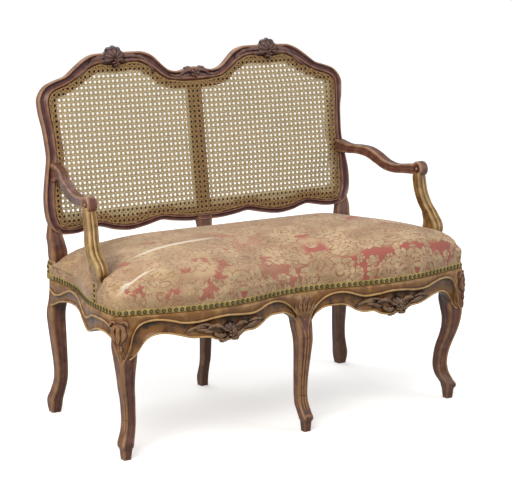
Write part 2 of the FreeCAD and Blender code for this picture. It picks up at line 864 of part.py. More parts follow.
POST_X = "(sizes.frame_half - sizes.back_in - sizes.post_in)"
POST_EDGE_X = "(sizes.frame_half - sizes.back_in - sizes.post_in - sizes.rear_post_half)"
RAIL_Y = "(sizes.rear_reach - sizes.rear_rail_thickness / 2)"
REAR_LOW = "(sizes.rail_height - sizes.side_rise_drop + sizes.tenon_margin / 2)"
REAR_HIGH = "(sizes.rail_height - sizes.tenon_margin)"


def rear_rail_piece(name, side):
    """One rear rail from its bound bar and two bound tenons."""
    def across(near, away):
        return (near, away) if side > 0 else (f"-({away})", f"-({near})")

    label = "rear_rail_" + name
    near, away = across("0", POST_X)
    bar = bound_box(
        label + "_bar",
        (near, "sizes.rear_reach - sizes.rear_rail_thickness", "sizes.rail_height - sizes.rear_rail_depth"),
        (away, "sizes.rear_reach - sizes.rail_rebate", "sizes.rail_height"),
    )
    near, away = across(f"{POST_EDGE_X} - sizes.tenon_length + 4", f"{POST_EDGE_X} + sizes.tenon_length - 4")
    outer = bound_box(
        label + "_outer_tenon",
        (near, f"{RAIL_Y} + 2 - sizes.tenon_thickness / 2 + 3", REAR_LOW),
        (away, f"{RAIL_Y} + 2 + sizes.tenon_thickness / 2 - 3", REAR_HIGH),
    )
    near, away = across(
        "sizes.rear_centre_post_half - sizes.tenon_length + 7", "sizes.rear_centre_post_half + sizes.tenon_length - 7",
    )
    inner = bound_box(
        label + "_inner_tenon",
        (near, f"{RAIL_Y} - sizes.tenon_thickness / 2 + 2", REAR_LOW),
        (away, f"{RAIL_Y} + sizes.tenon_thickness / 2 - 2", REAR_HIGH),
    )
    leg = rear_leg if side > 0 else mirrored(rear_leg)
    return fitted(label, bar, [leg, rear_centre_leg], [outer, inner])


rear_rail = rear_rail_piece("right", 1)
rear_rail_piece("left", -1)

front_leg = one_solid(front_leg.cut(front_rail).cut(side_rail))
centre_leg = one_solid(centre_leg.cut(front_rail).cut(mirrored(front_rail)))
rear_leg = one_solid(rear_leg.cut(side_rail).cut(rear_rail))
rear_centre_leg = one_solid(rear_centre_leg.cut(rear_rail).cut(mirrored(rear_rail)))

keep("crest_rail", crest_rail())
keep("back_bottom_rail", back_bottom_rail())
keep_pair("rear_leg_stile", rear_leg)
keep("rear_leg_centre", rear_centre_leg)
keep_pair("front_leg", front_leg)
keep("front_leg_centre", centre_leg)
keep_pair("front_rail", front_rail)
keep_pair("side_rail", side_rail)

# Arms: a swept bar from the stile to a rolled knuckle, on a whip-shaped support

def arm_shape():
    width = size("arm_half_width")
    height = size("arm_half_height")
    reach = back_face - knuckle_y
    stations = [
        (arm_root_x, back_face + 0.138 * reach, arm_root_z, width, size("arm_root_half")),
        (arm_root_x + 2, back_face - 0.138 * reach, arm_root_z - 2, width, height + 3),
        (arm_elbow_x - 8, back_face - 0.246 * reach, arm_elbow_z + 6, width, height + 1),
        (arm_elbow_x, back_face - 0.367 * reach, arm_elbow_z - 1, width + 1, height + 2),
        (arm_elbow_x + 4, back_face - 0.488 * reach, arm_elbow_z - 14, width + 1, height + 2),
        (arm_low_x, back_face - 0.609 * reach, arm_low_z + 1, width, height),
        (arm_low_x + 6, back_face - 0.730 * reach, arm_low_z - 2, width, height - 2),
        (knuckle_x - 10, back_face - 0.841 * reach, knuckle_z + 1, width, height - 2),
        (knuckle_x, knuckle_y + 4, knuckle_z + 2, width + 1, height + 1),
    ]
    bar = loft(stations, upright=True)
    start = Vec(knuckle_x - size("knuckle_width") / 2, knuckle_y, knuckle_z)
    knuckle = Part.makeCylinder(size("knuckle_radius"), size("knuckle_width"), start, Vec(1, 0, 0))
    behind_face = back_slab([outer_loop], 0, 4 * size("back_thickness"))
    return one_solid(bar.fuse(knuckle).cut(rear_leg).cut(behind_face))


def support_shape(grow=0.0):
    half = size("support_half") + grow
    foot = size("support_foot_half") + grow
    top_x = knuckle_x
    top_y = knuckle_y
    foot_x = support_foot_x
    foot_y = support_foot_y
    low = size("rail_height")
    high = knuckle_z
    reach = high - low
    return loft([
        (foot_x, foot_y, low - grow, half + 1, foot),
        (foot_x + 1, foot_y + 0.12 * (top_y - foot_y), low + 0.17 * reach, half, 0.86 * foot),
        (foot_x + 1, foot_y + 0.36 * (top_y - foot_y), low + 0.32 * reach, half, half + 3),
        (foot_x - 3, foot_y + 0.62 * (top_y - foot_y), low + 0.48 * reach, half, half + 1),
        (top_x + 5, foot_y + 0.82 * (top_y - foot_y), low + 0.65 * reach, half - 1, half + 1),
        (top_x + 1, foot_y + 0.95 * (top_y - foot_y), low + 0.84 * reach, half - 2, half - 1),
        (top_x, top_y - 2, high - 4, half - 2, half - 2),
    ])


arm = arm_shape()
support = one_solid(support_shape().cut(arm))
keep_pair("arm", arm)
keep_pair("arm_support", support)

# Back muntin: an upright bar behind the cane, between the crest and the lower rail

lean = FreeCAD.Placement(Vec(0, back_face, seat_level), FreeCAD.Rotation(Vec(1, 0, 0), 90 - size("back_lean")))
flat_ring = back_ring.copy()
flat_ring.Placement = lean.inverse().multiply(flat_ring.Placement)
muntin_bar = bound_box(
    "back_muntin_bar",
    ("-sizes.muntin_width / 2", "sizes.sill_height - 20", "-sizes.back_thickness + 3"),
    ("sizes.muntin_width / 2", "sizes.hump_height - sizes.centre_drop - sizes.moulding / 2", "-sizes.cane_rebate"),
)
fitted("back_muntin", muntin_bar, [flat_ring])
pieces["back_muntin"].Placement = lean

# Cane: one woven sheet over the whole back, held to the margin of the frame

def cane_panel():
    clearance = size("soft_clearance")
    sheet_loop = back_loop(size("moulding") + clearance)
    box = sheet_loop.BoundBox
    columns = int(size("cane_columns"))
    rows = int(size("cane_rows"))
    pitch_x = (box.XLength - 2 * size("cane_border")) / columns
    pitch_y = (box.YLength - 2 * size("cane_border")) / rows
    bar = 0.28 * min(pitch_x, pitch_y)
    field = Part.Face(back_loop(size("moulding") + size("cane_border")))
    gaps = []
    for column in range(columns):
        for row in range(rows):
            low_x = box.XMin + size("cane_border") + column * pitch_x + bar / 2
            low_y = box.YMin + size("cane_border") + row * pitch_y + bar / 2
            high_x = low_x + pitch_x - bar
            high_y = low_y + pitch_y - bar
            corners = [Vec(low_x, low_y, 0), Vec(low_x, high_y, 0), Vec(high_x, high_y, 0), Vec(high_x, low_y, 0)]
            if all(field.isInside(corner, 0.01, True) for corner in corners):
                gaps.append(Part.makePolygon(corners + corners[:1]))
    face = Part.makeFace([sheet_loop] + gaps, "Part::FaceMakerCheese")
    panel = face.extrude(Vec(0, 0, -size("cane_thickness")))
    return lean_back(panel, size("cane_rebate") - size("cane_thickness"))


keep("cane_panel", cane_panel())

# Centre bearer: a straight bar from the front centre leg to the rear centre leg

bearer_bar = bound_box(
    "centre_bearer_bar",
    ("-sizes.bearer_width / 2", "sizes.centre_post - sizes.front_reach - sizes.bearer_hold", "sizes.rail_height - sizes.bearer_depth"),
    ("sizes.bearer_width / 2", "sizes.rear_reach - 10", "sizes.rail_height"),
)
bearer_around = centre_leg.fuse([rear_centre_leg, rear_rail, mirrored(rear_rail), front_rail, mirrored(front_rail)])
fitted("centre_bearer", bearer_bar, [bearer_around])

# Corner blocks: three-sided blocks glued into the corners of the seat frame

def corner_block(label, corner_x, corner_y, turn, around):
    """A padded triangle with its square corner at a place, turned, and cut to fit what it touches."""
    body = doc.addObject("PartDesign::Body", label + "_form")
    outline = doc.addObject("Sketcher::SketchObject", label + "_outline")
    body.addObject(outline)
    corners = [Vec(0, 0, 0), Vec(80, 0, 0), Vec(0, 80, 0)]
    for start, end in zip(corners, corners[1:] + corners[:1]):
        outline.addGeometry(Part.LineSegment(start, end), False)
    for here, after in ((0, 1), (1, 2), (2, 0)):
        outline.addConstraint(Sketcher.Constraint("Coincident", here, 2, after, 1))
    outline.addConstraint(Sketcher.Constraint("Coincident", 0, 1, -1, 1))
    outline.addConstraint(Sketcher.Constraint("Horizontal", 0))
    outline.addConstraint(Sketcher.Constraint("Vertical", 2))
    for edge in (0, 2):
        number = outline.addConstraint(Sketcher.Constraint("Distance", edge, 80))
        outline.setExpression(f"Constraints[{number}]", "sizes.block_leg")
    pad = doc.addObject("PartDesign::Pad", label + "_pad")
    body.addObject(pad)
    pad.Profile = outline
    pad.setExpression("Length", "sizes.block_height")
    body.Tip = pad
    low = size("rail_height") - size("block_drop") - size("block_height")
    body.Placement = FreeCAD.Placement(Vec(corner_x, corner_y, low), FreeCAD.Rotation(Vec(0, 0, 1), turn))
    outline.Visibility = False
    return fitted(label, body, [around])


front_corner = (post_inner_x + 14, post_inner_y - 22)
rear_corner = (rear_half - size("rail_thickness") + 6, size("rear_reach") - size("rear_rail_thickness") + 3)
front_around = front_leg.fuse([front_rail, side_rail])
rear_around = rear_leg.fuse([rear_rail, side_rail])
corner_block("corner_block_front_right", front_corner[0], front_corner[1], 90, front_around)
corner_block("corner_block_front_left", -front_corner[0], front_corner[1], 0, mirrored(front_around))
corner_block("corner_block_rear_right", rear_corner[0], rear_corner[1], 180, rear_around)
corner_block("corner_block_rear_left", -rear_corner[0], rear_corner[1], 270, mirrored(rear_around))

# Webbing: strips woven in two layers over the seat frame, with hessian on top

def strap_span(x_low, x_high, y_low, y_high, base):
    return box_between((x_low, y_low, base), (x_high, y_high, base + size("web_thickness")))


def webbing_lengthwise():
    """Strips from side to side, each ended on the side rails."""
    strips = []
    pitch = size("web_width") + size("web_gap")
    inner_front = seat_points(size("rail_thickness"))["middle"][1]
    inner_rear = size("rear_reach") - size("rear_rail_thickness")
    count = int((inner_rear - inner_front) / pitch)
    start = (inner_rear + inner_front - count * pitch + size("web_gap")) / 2
    holder = seat_prism(size("web_hold"), size("rail_height") - 5, size("rail_height") + 10)
    for index in range(count):
        low = start + index * pitch
        strip = strap_span(-far, far, low, low + size("web_width"), size("rail_height"))
        strips.append(one_solid(strip.common(holder)))
    return strips


def webbing_crosswise():
    """Strips from front to rear, laid over the long ones."""
    strips = []
    pitch = size("web_width") + size("web_gap")
    reach = rear_post_x - size("rear_post_half") - 6
    count = int((2 * reach + size("web_gap")) / pitch)
    start = (size("web_gap") - count * pitch) / 2
    holder = seat_prism(size("web_hold"), size("rail_height") - 5, size("rail_height") + 10)
    for index in range(count):
        low = start + index * pitch
        strip = strap_span(low, low + size("web_width"), -far, far, size("rail_height") + size("web_thickness"))
        strips.append(one_solid(strip.common(holder)))
    return strips


def stump_notches(clearance):
    """The spaces that the three rear posts and the two arm supports take out of the upholstery."""
    low = ledge_height - 60
    high = seat_crown + 60
    notch_y = rear_post_y - size("rear_post_half") + 1 - clearance
    corner_x = rear_post_x - size("rear_post_half") - 1 - clearance
    centre_x = size("rear_centre_post_half") + 3 + clearance
    notches = [
        box_between((corner_x, notch_y, low), (far, far, high)),
        box_between((-far, notch_y, low), (-corner_x, far, high)),
        box_between((-centre_x, notch_y + 4, low), (centre_x, far, high)),
    ]
    foot = support_shape(clearance)
    return notches + [foot, mirrored(foot)]


def notched(shape, clearance):
    for notch in stump_notches(clearance):
        shape = shape.cut(notch)
    return shape


long_strips = [notched(strip, 1.0) for strip in webbing_lengthwise()]
cross_strips = [notched(strip, 1.0) for strip in webbing_crosswise()]
keep("webbing_lengthwise", Part.makeCompound(long_strips))
keep("webbing_crosswise", Part.makeCompound(cross_strips))
web_top = size("rail_height") + 2 * size("web_thickness")
hessian_top = web_top + size("hessian_thickness")
keep("hessian", one_solid(notched(soft_prism(size("rail_rebate") + 4, web_top, hessian_top), 1.0)))

# Stuffing and cover: a crowned form that bulges a little over the rails and draws in below

def seat_form(grow, low, plain=False):
    """The seat's crowned form, grown outwards, from the height low upwards and higher in front."""
    rebate = size("rail_rebate")
    bulge = 0 if plain else 2.5
    edge_height = size("rail_height") + 2 if plain else seat_edge
    stations = [
        (rebate, low, 1, 0, 0),
        (rebate, ledge_height + size("gimp_height") + 2, 1, 0, 0),
        (rebate - bulge, edge_height, 1, 0, 0),
        (rebate + 8, seat_roll, 0.8, 0.6, 0.7),
        (rebate + 38, seat_shoulder, 0.4, 0.9, 1),
        (size("crown_share") * (size("front_reach") + size("rear_reach")) / 2, seat_crown - 4, 0.2, 1, 1),
    ]
    if plain:
        del stations[1]
    rings = []
    for inset, height, out, up, lean in stations:
        pivot = Vec(0, 0, height)
        turn = FreeCAD.Rotation(Vec(1, 0, 0), -lean * size("seat_tilt"))
        ring = soft_ring(inset - grow * out, height + grow * up)
        rings.append([turn.multVec(corner - pivot) + pivot for corner in ring])
    return flat_loft(rings)


clearance = size("soft_clearance")
pad_base = hessian_top + clearance
pad = seat_form(0, pad_base - 20, plain=True).cut(seat_prism(-20, pad_base - 100, pad_base))
keep("stuffing", one_solid(notched(pad, 3.5)))
cover_outer = seat_form(size("cover_thickness"), ledge_height + clearance)
cover_inner = seat_form(size("cloth_slack"), ledge_height - 5, plain=True)
cover = cover_outer.cut(cover_inner).cut(front_leg).cut(mirrored(front_leg))
keep("seat_cover", one_solid(notched(cover, 0.6)))

# Gimp braid and brass nails along the cover's lower edge

gimp_low = ledge_height + clearance
gimp_inner = size("rail_rebate") - size("cover_thickness") - clearance
gimp_outer = gimp_inner - size("gimp_thickness")
braid = soft_prism(gimp_outer, gimp_low, gimp_low + size("gimp_height"))
braid = braid.cut(soft_prism(gimp_inner, gimp_low - 5, gimp_low + size("gimp_height") + 5))
keep("gimp_braid", notched(braid, 0.6))


def nail_heads():
    """Six-sided pointed heads, evenly spaced on the braid along the front and the sides."""
    middle = gimp_low + size("gimp_height") / 2
    gimp_face = gimp_outer - size("cloth_slack")
    ring = soft_ring(gimp_face, middle)
    behind = (len(ring) - 9) // 2
    path = Part.makePolygon(ring[-behind + 1:] + ring[:behind + 8])
    count = int(path.Length / size("nail_pitch"))
    places = path.discretize(Number=count)
    heads = []
    for index in range(1, count - 1):
        along = places[index + 1] - places[index - 1]
        outward = Vec(along.y, -along.x, 0)
        if outward.dot(places[index] - Vec(0, 0, middle)) < 0:
            outward = outward.negative()
        outward.normalize()
        sideways = Vec(-outward.y, outward.x, 0)
        rim = []
        for corner in range(6):
            angle = math.radians(60 * corner)
            spread = sideways * math.cos(angle) + Vec(0, 0, math.sin(angle))
            rim.append(places[index] + spread * size("nail_radius"))
        tip = Part.Vertex(places[index] + outward * size("nail_height"))
        heads.append(Part.makeLoft([Part.makePolygon(rim + rim[:1]), tip], True, True))
    return heads


keep("nail_heads", Part.makeCompound(nail_heads()))

# Stand the whole settee with its footprint's middle at the origin

doc.recompute()
low_y = min(piece.Shape.BoundBox.YMin for piece in pieces.values())
high_y = max(piece.Shape.BoundBox.YMax for piece in pieces.values())
centring = FreeCAD.Placement(Vec(0, -(low_y + high_y) / 2, 0), FreeCAD.Rotation())
for piece in pieces.values():
    piece.Placement = centring.multiply(piece.Placement)
doc.recompute()

for item in doc.Objects:
    if "Invalid" in item.State or "Error" in item.State:
        raise RuntimeError(f"{item.Label} did not compute: {item.State}")
for label, piece in pieces.items():
    if piece.Shape.isNull() or not piece.Shape.isValid() or not piece.Shape.Solids:
        raise RuntimeError(f"{label} has no valid solid")

os.makedirs("parts", exist_ok=True)
for label, piece in pieces.items():
    piece.Shape.exportStep(f"parts/{label}.step")
print("depth shift", round(-(low_y + high_y) / 2, 2), "pieces", len(pieces))
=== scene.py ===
import bmesh
import bpy
import math
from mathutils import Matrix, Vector


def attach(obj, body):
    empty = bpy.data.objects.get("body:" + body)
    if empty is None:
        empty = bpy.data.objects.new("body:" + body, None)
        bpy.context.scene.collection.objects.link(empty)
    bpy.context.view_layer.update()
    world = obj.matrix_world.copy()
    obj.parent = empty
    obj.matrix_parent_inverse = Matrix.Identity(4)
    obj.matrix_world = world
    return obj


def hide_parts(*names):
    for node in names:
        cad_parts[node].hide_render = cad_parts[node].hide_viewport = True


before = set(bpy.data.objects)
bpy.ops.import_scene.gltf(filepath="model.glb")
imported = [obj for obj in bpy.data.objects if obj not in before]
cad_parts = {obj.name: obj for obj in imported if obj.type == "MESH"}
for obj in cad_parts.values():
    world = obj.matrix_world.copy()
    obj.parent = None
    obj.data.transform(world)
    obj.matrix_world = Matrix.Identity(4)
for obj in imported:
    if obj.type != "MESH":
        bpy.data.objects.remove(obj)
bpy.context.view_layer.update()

# The camera stands to the left of the settee and looks a little down at it, with a long lens, so
# that the front, the left arm and the inside of the back all show.
camera = bpy.data.objects.new("camera", bpy.data.cameras.new("camera"))
bpy.context.scene.collection.objects.link(camera)
camera.location = (-2.44425, -3.85596, 1.35256)
camera.rotation_euler = (math.radians(90 - 11.30), 0, math.radians(-32.64))
camera.data.sensor_width = 36
camera.data.lens = 122.7
bpy.context.scene.camera = camera

# The studio is a white floor that runs out of sight, with a large soft lamp above and to the left
# and a paler one from the right. The floor keeps a faint cast shadow, and its glow is painted
# dimmer near the settee as a painted shadow.
bpy.context.scene.view_settings.view_transform = "Standard"


def feed(node, values):
    """Gives a node its inputs in order, each from a socket or a plain value."""
    for socket, value in zip(node.inputs, values):
        if isinstance(value, bpy.types.NodeSocket):
            node.id_data.links.new(value, socket)
        else:
            socket.default_value = value


def add_node(nodes, kind, *values):
    """A new node with its first inputs fed."""
    node = nodes.new(kind)
    feed(node, values)
    return node


def calc(operation, first, second=0.0, third=0.0):
    """One step of arithmetic on sockets and numbers, in the tree that the sockets belong to."""
    values = (first, second, third)
    tree = [value for value in values if isinstance(value, bpy.types.NodeSocket)][0].id_data
    node = add_node(tree.nodes, "ShaderNodeMath", *values)
    node.operation = operation
    return node.outputs[0]


def ramp(value, low, high, bottom=0.0, top=1.0, kind="SMOOTHSTEP"):
    """Goes from bottom to top while a value goes from low to high, and keeps to that range."""
    node = add_node(value.id_data.nodes, "ShaderNodeMapRange", value, low, high, bottom, top)
    node.interpolation_type = kind
    return node.outputs["Result"]


def blend(share, first, second):
    """A mix of two colours or colour sockets, by a share that comes from a socket."""
    tree = share.id_data
    node = add_node(tree.nodes, "ShaderNodeMix", share)
    node.data_type = "RGBA"
    for socket, value in ((node.inputs[6], first), (node.inputs[7], second)):
        if isinstance(value, tuple):
            socket.default_value = (*value, 1)
        else:
            tree.links.new(value, socket)
    return node.outputs[2]


def empty_nodes(owner):
    """The nodes of a world or a material, with none in yet."""
    owner.use_nodes = True
    owner.node_tree.nodes.clear()
    return owner.node_tree.nodes


world = bpy.data.worlds.new("studio")
bpy.context.scene.world = world
sky = empty_nodes(world)
sky_path = sky.new("ShaderNodeLightPath")
sky_light = add_node(sky, "ShaderNodeBackground", (1.0, 0.985, 0.97, 1), 0.62)
sky_seen = add_node(sky, "ShaderNodeBackground", (1, 1, 1, 1), 1.0)
sky_share = calc("MAXIMUM", sky_path.outputs["Is Camera Ray"], sky_path.outputs["Is Transmission Ray"])
sky_pick = add_node(sky, "ShaderNodeMixShader", sky_share, sky_light.outputs[0], sky_seen.outputs[0])
add_node(sky, "ShaderNodeOutputWorld", sky_pick.outputs[0])


def add_lamp(name, place, aim, width, power, colour):
    """A square soft lamp that faces a point."""
    lamp = bpy.data.objects.new(name, bpy.data.lights.new(name, "AREA"))
    bpy.context.scene.collection.objects.link(lamp)
    lamp.location = place
    lamp.rotation_euler = (Vector(aim) - Vector(place)).to_track_quat("-Z", "Y").to_euler()
    lamp.data.size = width
    lamp.data.energy = power
    lamp.data.color = colour


add_lamp("lamp_left", (-2.4, -2.2, 3.0), (0, 0, 0.4), 1.6, 105, (1.0, 0.97, 0.92))
add_lamp("lamp_right", (2.6, -2.6, 2.2), (0, 0, 0.4), 2.2, 34, (0.95, 0.97, 1.0))
add_lamp("lamp_side", (-3.6, -0.4, 1.1), (0, 0, 0.35), 1.4, 24, (1.0, 0.82, 0.56))
add_lamp("lamp_above", (0.2, 1.6, 3.2), (0, 0, 0.3), 2.0, 40, (1.0, 1.0, 1.0))

floor_mesh = bpy.data.meshes.new("floor")
floor_shape = bmesh.new()
bmesh.ops.create_grid(floor_shape, x_segments=1, y_segments=1, size=30)
floor_shape.to_mesh(floor_mesh)
floor_shape.free()
floor = bpy.data.objects.new("floor", floor_mesh)
bpy.context.scene.collection.objects.link(floor)
floor_finish = bpy.data.materials.new("white floor")
floor_nodes = empty_nodes(floor_finish)
floor_path = floor_nodes.new("ShaderNodeLightPath")
floor_in_view = floor_path.outputs["Is Camera Ray"]
floor_tone = blend(floor_in_view, (0.30, 0.30, 0.30), (0.74, 0.74, 0.74))
floor_matt = add_node(floor_nodes, "ShaderNodeBsdfDiffuse", floor_tone)
floor_place = floor_nodes.new("ShaderNodeTexCoord")
floor_reach = add_node(floor_nodes, "ShaderNodeVectorMath", floor_place.outputs["Object"])
floor_reach.operation = "LENGTH"
# The floor's glow is dimmer near the settee and brighter far out: a painted shadow under and round it.
floor_glow_painted_shadow = ramp(floor_reach.outputs["Value"], 0.45, 1.4, 0.44, 0.58)
floor_glow = add_node(floor_nodes, "ShaderNodeEmission", (1, 1, 1, 1), floor_glow_painted_shadow)
floor_dark = add_node(floor_nodes, "ShaderNodeEmission", (1, 1, 1, 1), 0.0)
floor_share = calc("MAXIMUM", floor_in_view, floor_path.outputs["Is Glossy Ray"])
floor_pick = add_node(
    floor_nodes, "ShaderNodeMixShader", floor_share, floor_dark.outputs[0], floor_glow.outputs[0],
)
floor_sum = add_node(floor_nodes, "ShaderNodeAddShader", floor_matt.outputs[0], floor_pick.outputs[0])
add_node(floor_nodes, "ShaderNodeOutputMaterial", floor_sum.outputs[0])
floor_mesh.materials.append(floor_finish)

# The back frame is walnut in four lengths: the humped crest rail, the two stiles and the waved
# lower rail. One moulding runs round all four: an outer bead, a deep hollow and an inner bead.
FACE_Y = 212.19
SEAT_LEVEL = 450
LEAN = math.radians(8.1)
BACK_EDGES = (
    (0, 452.5, 0, 413.6), (30, 447.5, 32, 414.5), (55, 442.4, 60, 416.7), (80, 447.5, 88, 422),
    (100, 461.6, 106, 432), (130, 488.9, 134, 452), (160, 500.5, 166, 470), (190, 502, 196, 473),
    (238, 502, 242, 468), (300, 501, 290, 471.7), (320, 498, 310, 468.5), (345, 486.9, 329, 460),
    (370, 469.7, 350, 447.5), (400, 447.5, 384, 428), (420, 440.4, 408, 418), (440, 434.3, 428, 411.5),
    (460, 426.3, 441, 405), (475, 414.1, 449, 397), (485, 399, 453, 389), (489, 383.8, 455, 379),
    (486, 348, 453, 347), (479, 313, 448, 312), (475, 272.7, 444.5, 272), (473, 242.4, 443.5, 242),
    (475, 222, 445, 222), (483, 181.8, 452, 182), (490, 141.4, 459, 142), (492, 111, 461, 112),
    (490, 80.8, 460, 86), (484, 60.6, 456, 68), (474, 45, 448, 54), (458, 35, 436, 48),
    (440, 31, 424, 47), (405, 31, 402, 47), (372, 37, 370, 53), (340, 42.4, 340, 58),
    (312, 37, 314, 53), (286, 29.3, 287, 45.5), (240, 24.2, 240, 40.5), (190, 31.3, 190, 47.5),
    (140, 41.4, 140, 57), (100, 35.4, 100, 51.5), (50, 30.3, 50, 46.5), (0, 30.3, 0, 46.5),
)
# Across the moulding: share from the outer edge, depth behind the face, how bright it is made by wear and
# painted light
BACK_PROFILE = (
    (0.0, 9, 0.55), (0.0, 4.5, 0.75), (0.03, 1.2, 0.95), (0.09, -1.2, 1.0), (0.16, -1.2, 0.9),
    (0.22, 0.8, 0.4), (0.28, 3.6, 0.05), (0.38, 5.4, 0.0), (0.50, 5.2, 0.05), (0.60, 3.4, 0.3),
    (0.68, 0.8, 0.55), (0.74, -0.6, 0.8), (0.82, -0.6, 0.75), (0.88, 0.8, 0.4), (0.93, 3.4, 0.1),
    (1.0, 6.5, 0.05),
)


def even_steps(points, count):
    """Even steps along a line: the point before each, the share of the way on, and how far it is."""
    reach = [0.0]
    for here, there in zip(points, points[1:]):
        reach.append(reach[-1] + math.dist(here, there))
    at = 0
    for index in range(count):
        goal = reach[-1] * index / (count - 1)
        while at < len(reach) - 2 and reach[at + 1] < goal:
            at += 1
        share = (goal - reach[at]) / ((reach[at + 1] - reach[at]) or 1)
        yield at, min(max(share, 0), 1), goal


def flow(points, count):
    """Evenly spaced stations on a smooth curve through points of any number of values."""
    padded = [points[0]] + list(points) + [points[-1]]
    fine = []
    for before, start, end, after in zip(padded, padded[1:], padded[2:], padded[3:]):
        for step in range(16):
            t = step / 16
            weights = (
                (2 * t * t - t - t ** 3) / 2, (2 - 5 * t * t + 3 * t ** 3) / 2,
                (t + 4 * t * t - 3 * t ** 3) / 2, (t ** 3 - t * t) / 2,
            )
            columns = zip(before, start, end, after)
            fine.append([sum(w * v for w, v in zip(weights, column)) for column in columns])
    fine.append(list(points[-1]))
    stations = []
    for at, share, _ in even_steps(fine, count):
        stations.append([a + (b - a) * share for a, b in zip(fine[at], fine[at + 1])])
    return stations


def ease(share):
    """A share from nought to one that sets off and arrives gently."""
    share = min(max(share, 0.0), 1.0)
    return share * share * (3 - 2 * share)


def on_side(side, places):
    """The same places for the right side, 1, or mirrored for the left side, -1."""
    return [(side * across, *rest) for across, *rest in places]


def on_back(across, up, depth):
    """A point of the leaning back, in metres, from millimetres across, up and behind its face."""
    y = FACE_Y + up * math.sin(LEAN) + depth * math.cos(LEAN)
    z = SEAT_LEVEL + up * math.cos(LEAN) - depth * math.sin(LEAN)
    # The old frame isn't even: its left half is narrower, and its right stile is slimmer in the middle
    if across <= 0:
        return Vector((across * 0.978, y, z)) / 1000
    slimmer = 13 * ease((up - 105) / 95) * ease((430 - up) / 55)
    reach = min(across / 450, max(0.0, 1 - (across - 450) / 26))
    return Vector((across * 1.005 + slimmer * reach, y, z)) / 1000


def add_grid(shape, rows, columns, place):
    """Lays a grid whose points go where place says, with how bright it is made there by wear, tone and
    painted light.
    """
    bright = shape.verts.layers.float.get("wear_tone_and_painted_light") or shape.verts.layers.float.new("wear_tone_and_painted_light")
    made = bmesh.ops.create_grid(shape, x_segments=rows, y_segments=columns, size=1)
    for vert in made["verts"]:
        row = round((vert.co.x + 1) / 2 * rows)
        column = round((vert.co.y + 1) / 2 * columns)
        point, wear_tone_and_painted_light = place(row, column)
        vert.co = point
        vert[bright] = wear_tone_and_painted_light
    return made["verts"]


def close_shape(shape):
    """Welds seams and poles, closes the open ends and turns every face outwards."""
    bmesh.ops.remove_doubles(shape, verts=shape.verts, dist=0.00002)
    open_edges = [edge for edge in shape.edges if edge.is_boundary]
    if open_edges:
        caps = bmesh.ops.holes_fill(shape, edges=open_edges, sides=0)
        for cap in caps["faces"]:
            for edge in cap.edges:
                edge.smooth = False
    bmesh.ops.recalc_face_normals(shape, faces=shape.faces)


def make_piece(name, shape, finish, stands_for=()):
    """Turns a finished bmesh into a piece of the settee."""
    mesh = bpy.data.meshes.new(name)
    shape.to_mesh(mesh)
    shape.free()
    mesh.polygons.foreach_set("use_smooth", [True] * len(mesh.polygons))
    mesh.materials.append(finish)
    piece = bpy.data.objects.new(name, mesh)
    bpy.context.scene.collection.objects.link(piece)
    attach(piece, "root")
    if stands_for:
        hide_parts(*stands_for)
    return piece


def noise(place, scale, detail=2.0, twist=0.0):
    """Cloudy unevenness, from nought to one."""
    node = place.id_data.nodes.new("ShaderNodeTexNoise")
    node.inputs["Scale"].default_value = scale
    node.inputs["Detail"].default_value = detail
    node.inputs["Distortion"].default_value = twist
    place.id_data.links.new(place, node.inputs["Vector"])
    return node.outputs["Fac"]


def times(first, second, plus=0.0):
    """One value times another, plus a third."""
    return calc("MULTIPLY_ADD", first, second, plus)


def begin_group(name, entrance, kind, exits):
    """A new group of nodes: its place in the object, its one input, and the node that ends it."""
    group = bpy.data.node_groups.new(name, "ShaderNodeTree")
    group.interface.new_socket(name=entrance, in_out="INPUT", socket_type=kind)
    for label in exits:
        group.interface.new_socket(name=label, in_out="OUTPUT", socket_type="NodeSocketFloat")
    place = group.nodes.new("ShaderNodeTexCoord").outputs["Object"]
    return group, place, group.nodes.new("NodeGroupInput").outputs[0], group.nodes.new("NodeGroupOutput")


def read_wear_tone_and_painted_light(nodes):
    """How bright a place is made by wear, tone and painted light, as the mesh says it."""
    wear_tone_and_painted_light = nodes.new("ShaderNodeAttribute")
    wear_tone_and_painted_light.attribute_name = "wear_tone_and_painted_light"
    return wear_tone_and_painted_light.outputs["Fac"]


def make_grain_group():
    """Walnut's figure: long fibres, broad cloudy bands and small dark pores."""
    group, place, stretch, leave = begin_group(
        "walnut figure", "Stretch", "NodeSocketVector", ("Fibre", "Tone", "Pores"),
    )
    scaled = add_node(group.nodes, "ShaderNodeVectorMath", place, stretch)
    scaled.operation = "MULTIPLY"
    fibre = noise(scaled.outputs[0], 9, 5, 0.6)
    pores = ramp(noise(scaled.outputs[0], 46), 0.60, 0.72, kind="LINEAR")
    feed(leave, (fibre, noise(place, 14, 3), pores))
    return group


def make_wear_and_painted_light_group():
    """Worn edges and painted light: how bright a place is, from the carver's depth and from light painted
    on outer faces, broken up by handling.
    """
    group, place, amount, leave = begin_group(
        "rubbed edges", "Amount", "NodeSocketFloat", ("Bright", "Deep"),
    )
    # The mesh's value holds wear and also painted light, such as the brighter outer faces of the legs and
    # supports.
    broken = calc("ADD", read_wear_tone_and_painted_light(group.nodes), times(noise(place, 45, 4), 1.1, -0.55))
    bright = times(ramp(broken, 0.45, 1.0, kind="LINEAR"), amount)
    feed(leave, (bright, ramp(broken, 0.35, 0.0, kind="LINEAR")))
    return group


def begin_finish(name):
    """A new material, with its nodes and its surface."""
    material = bpy.data.materials.new(name)
    material.use_nodes = True
    nodes = material.node_tree.nodes
    return material, nodes, nodes["Principled BSDF"]


def paint(surface, colour, roughness, metallic=0.0):
    """Gives a surface its colour, its roughness and how metallic it is."""
    feed(surface, (colour, metallic, roughness))


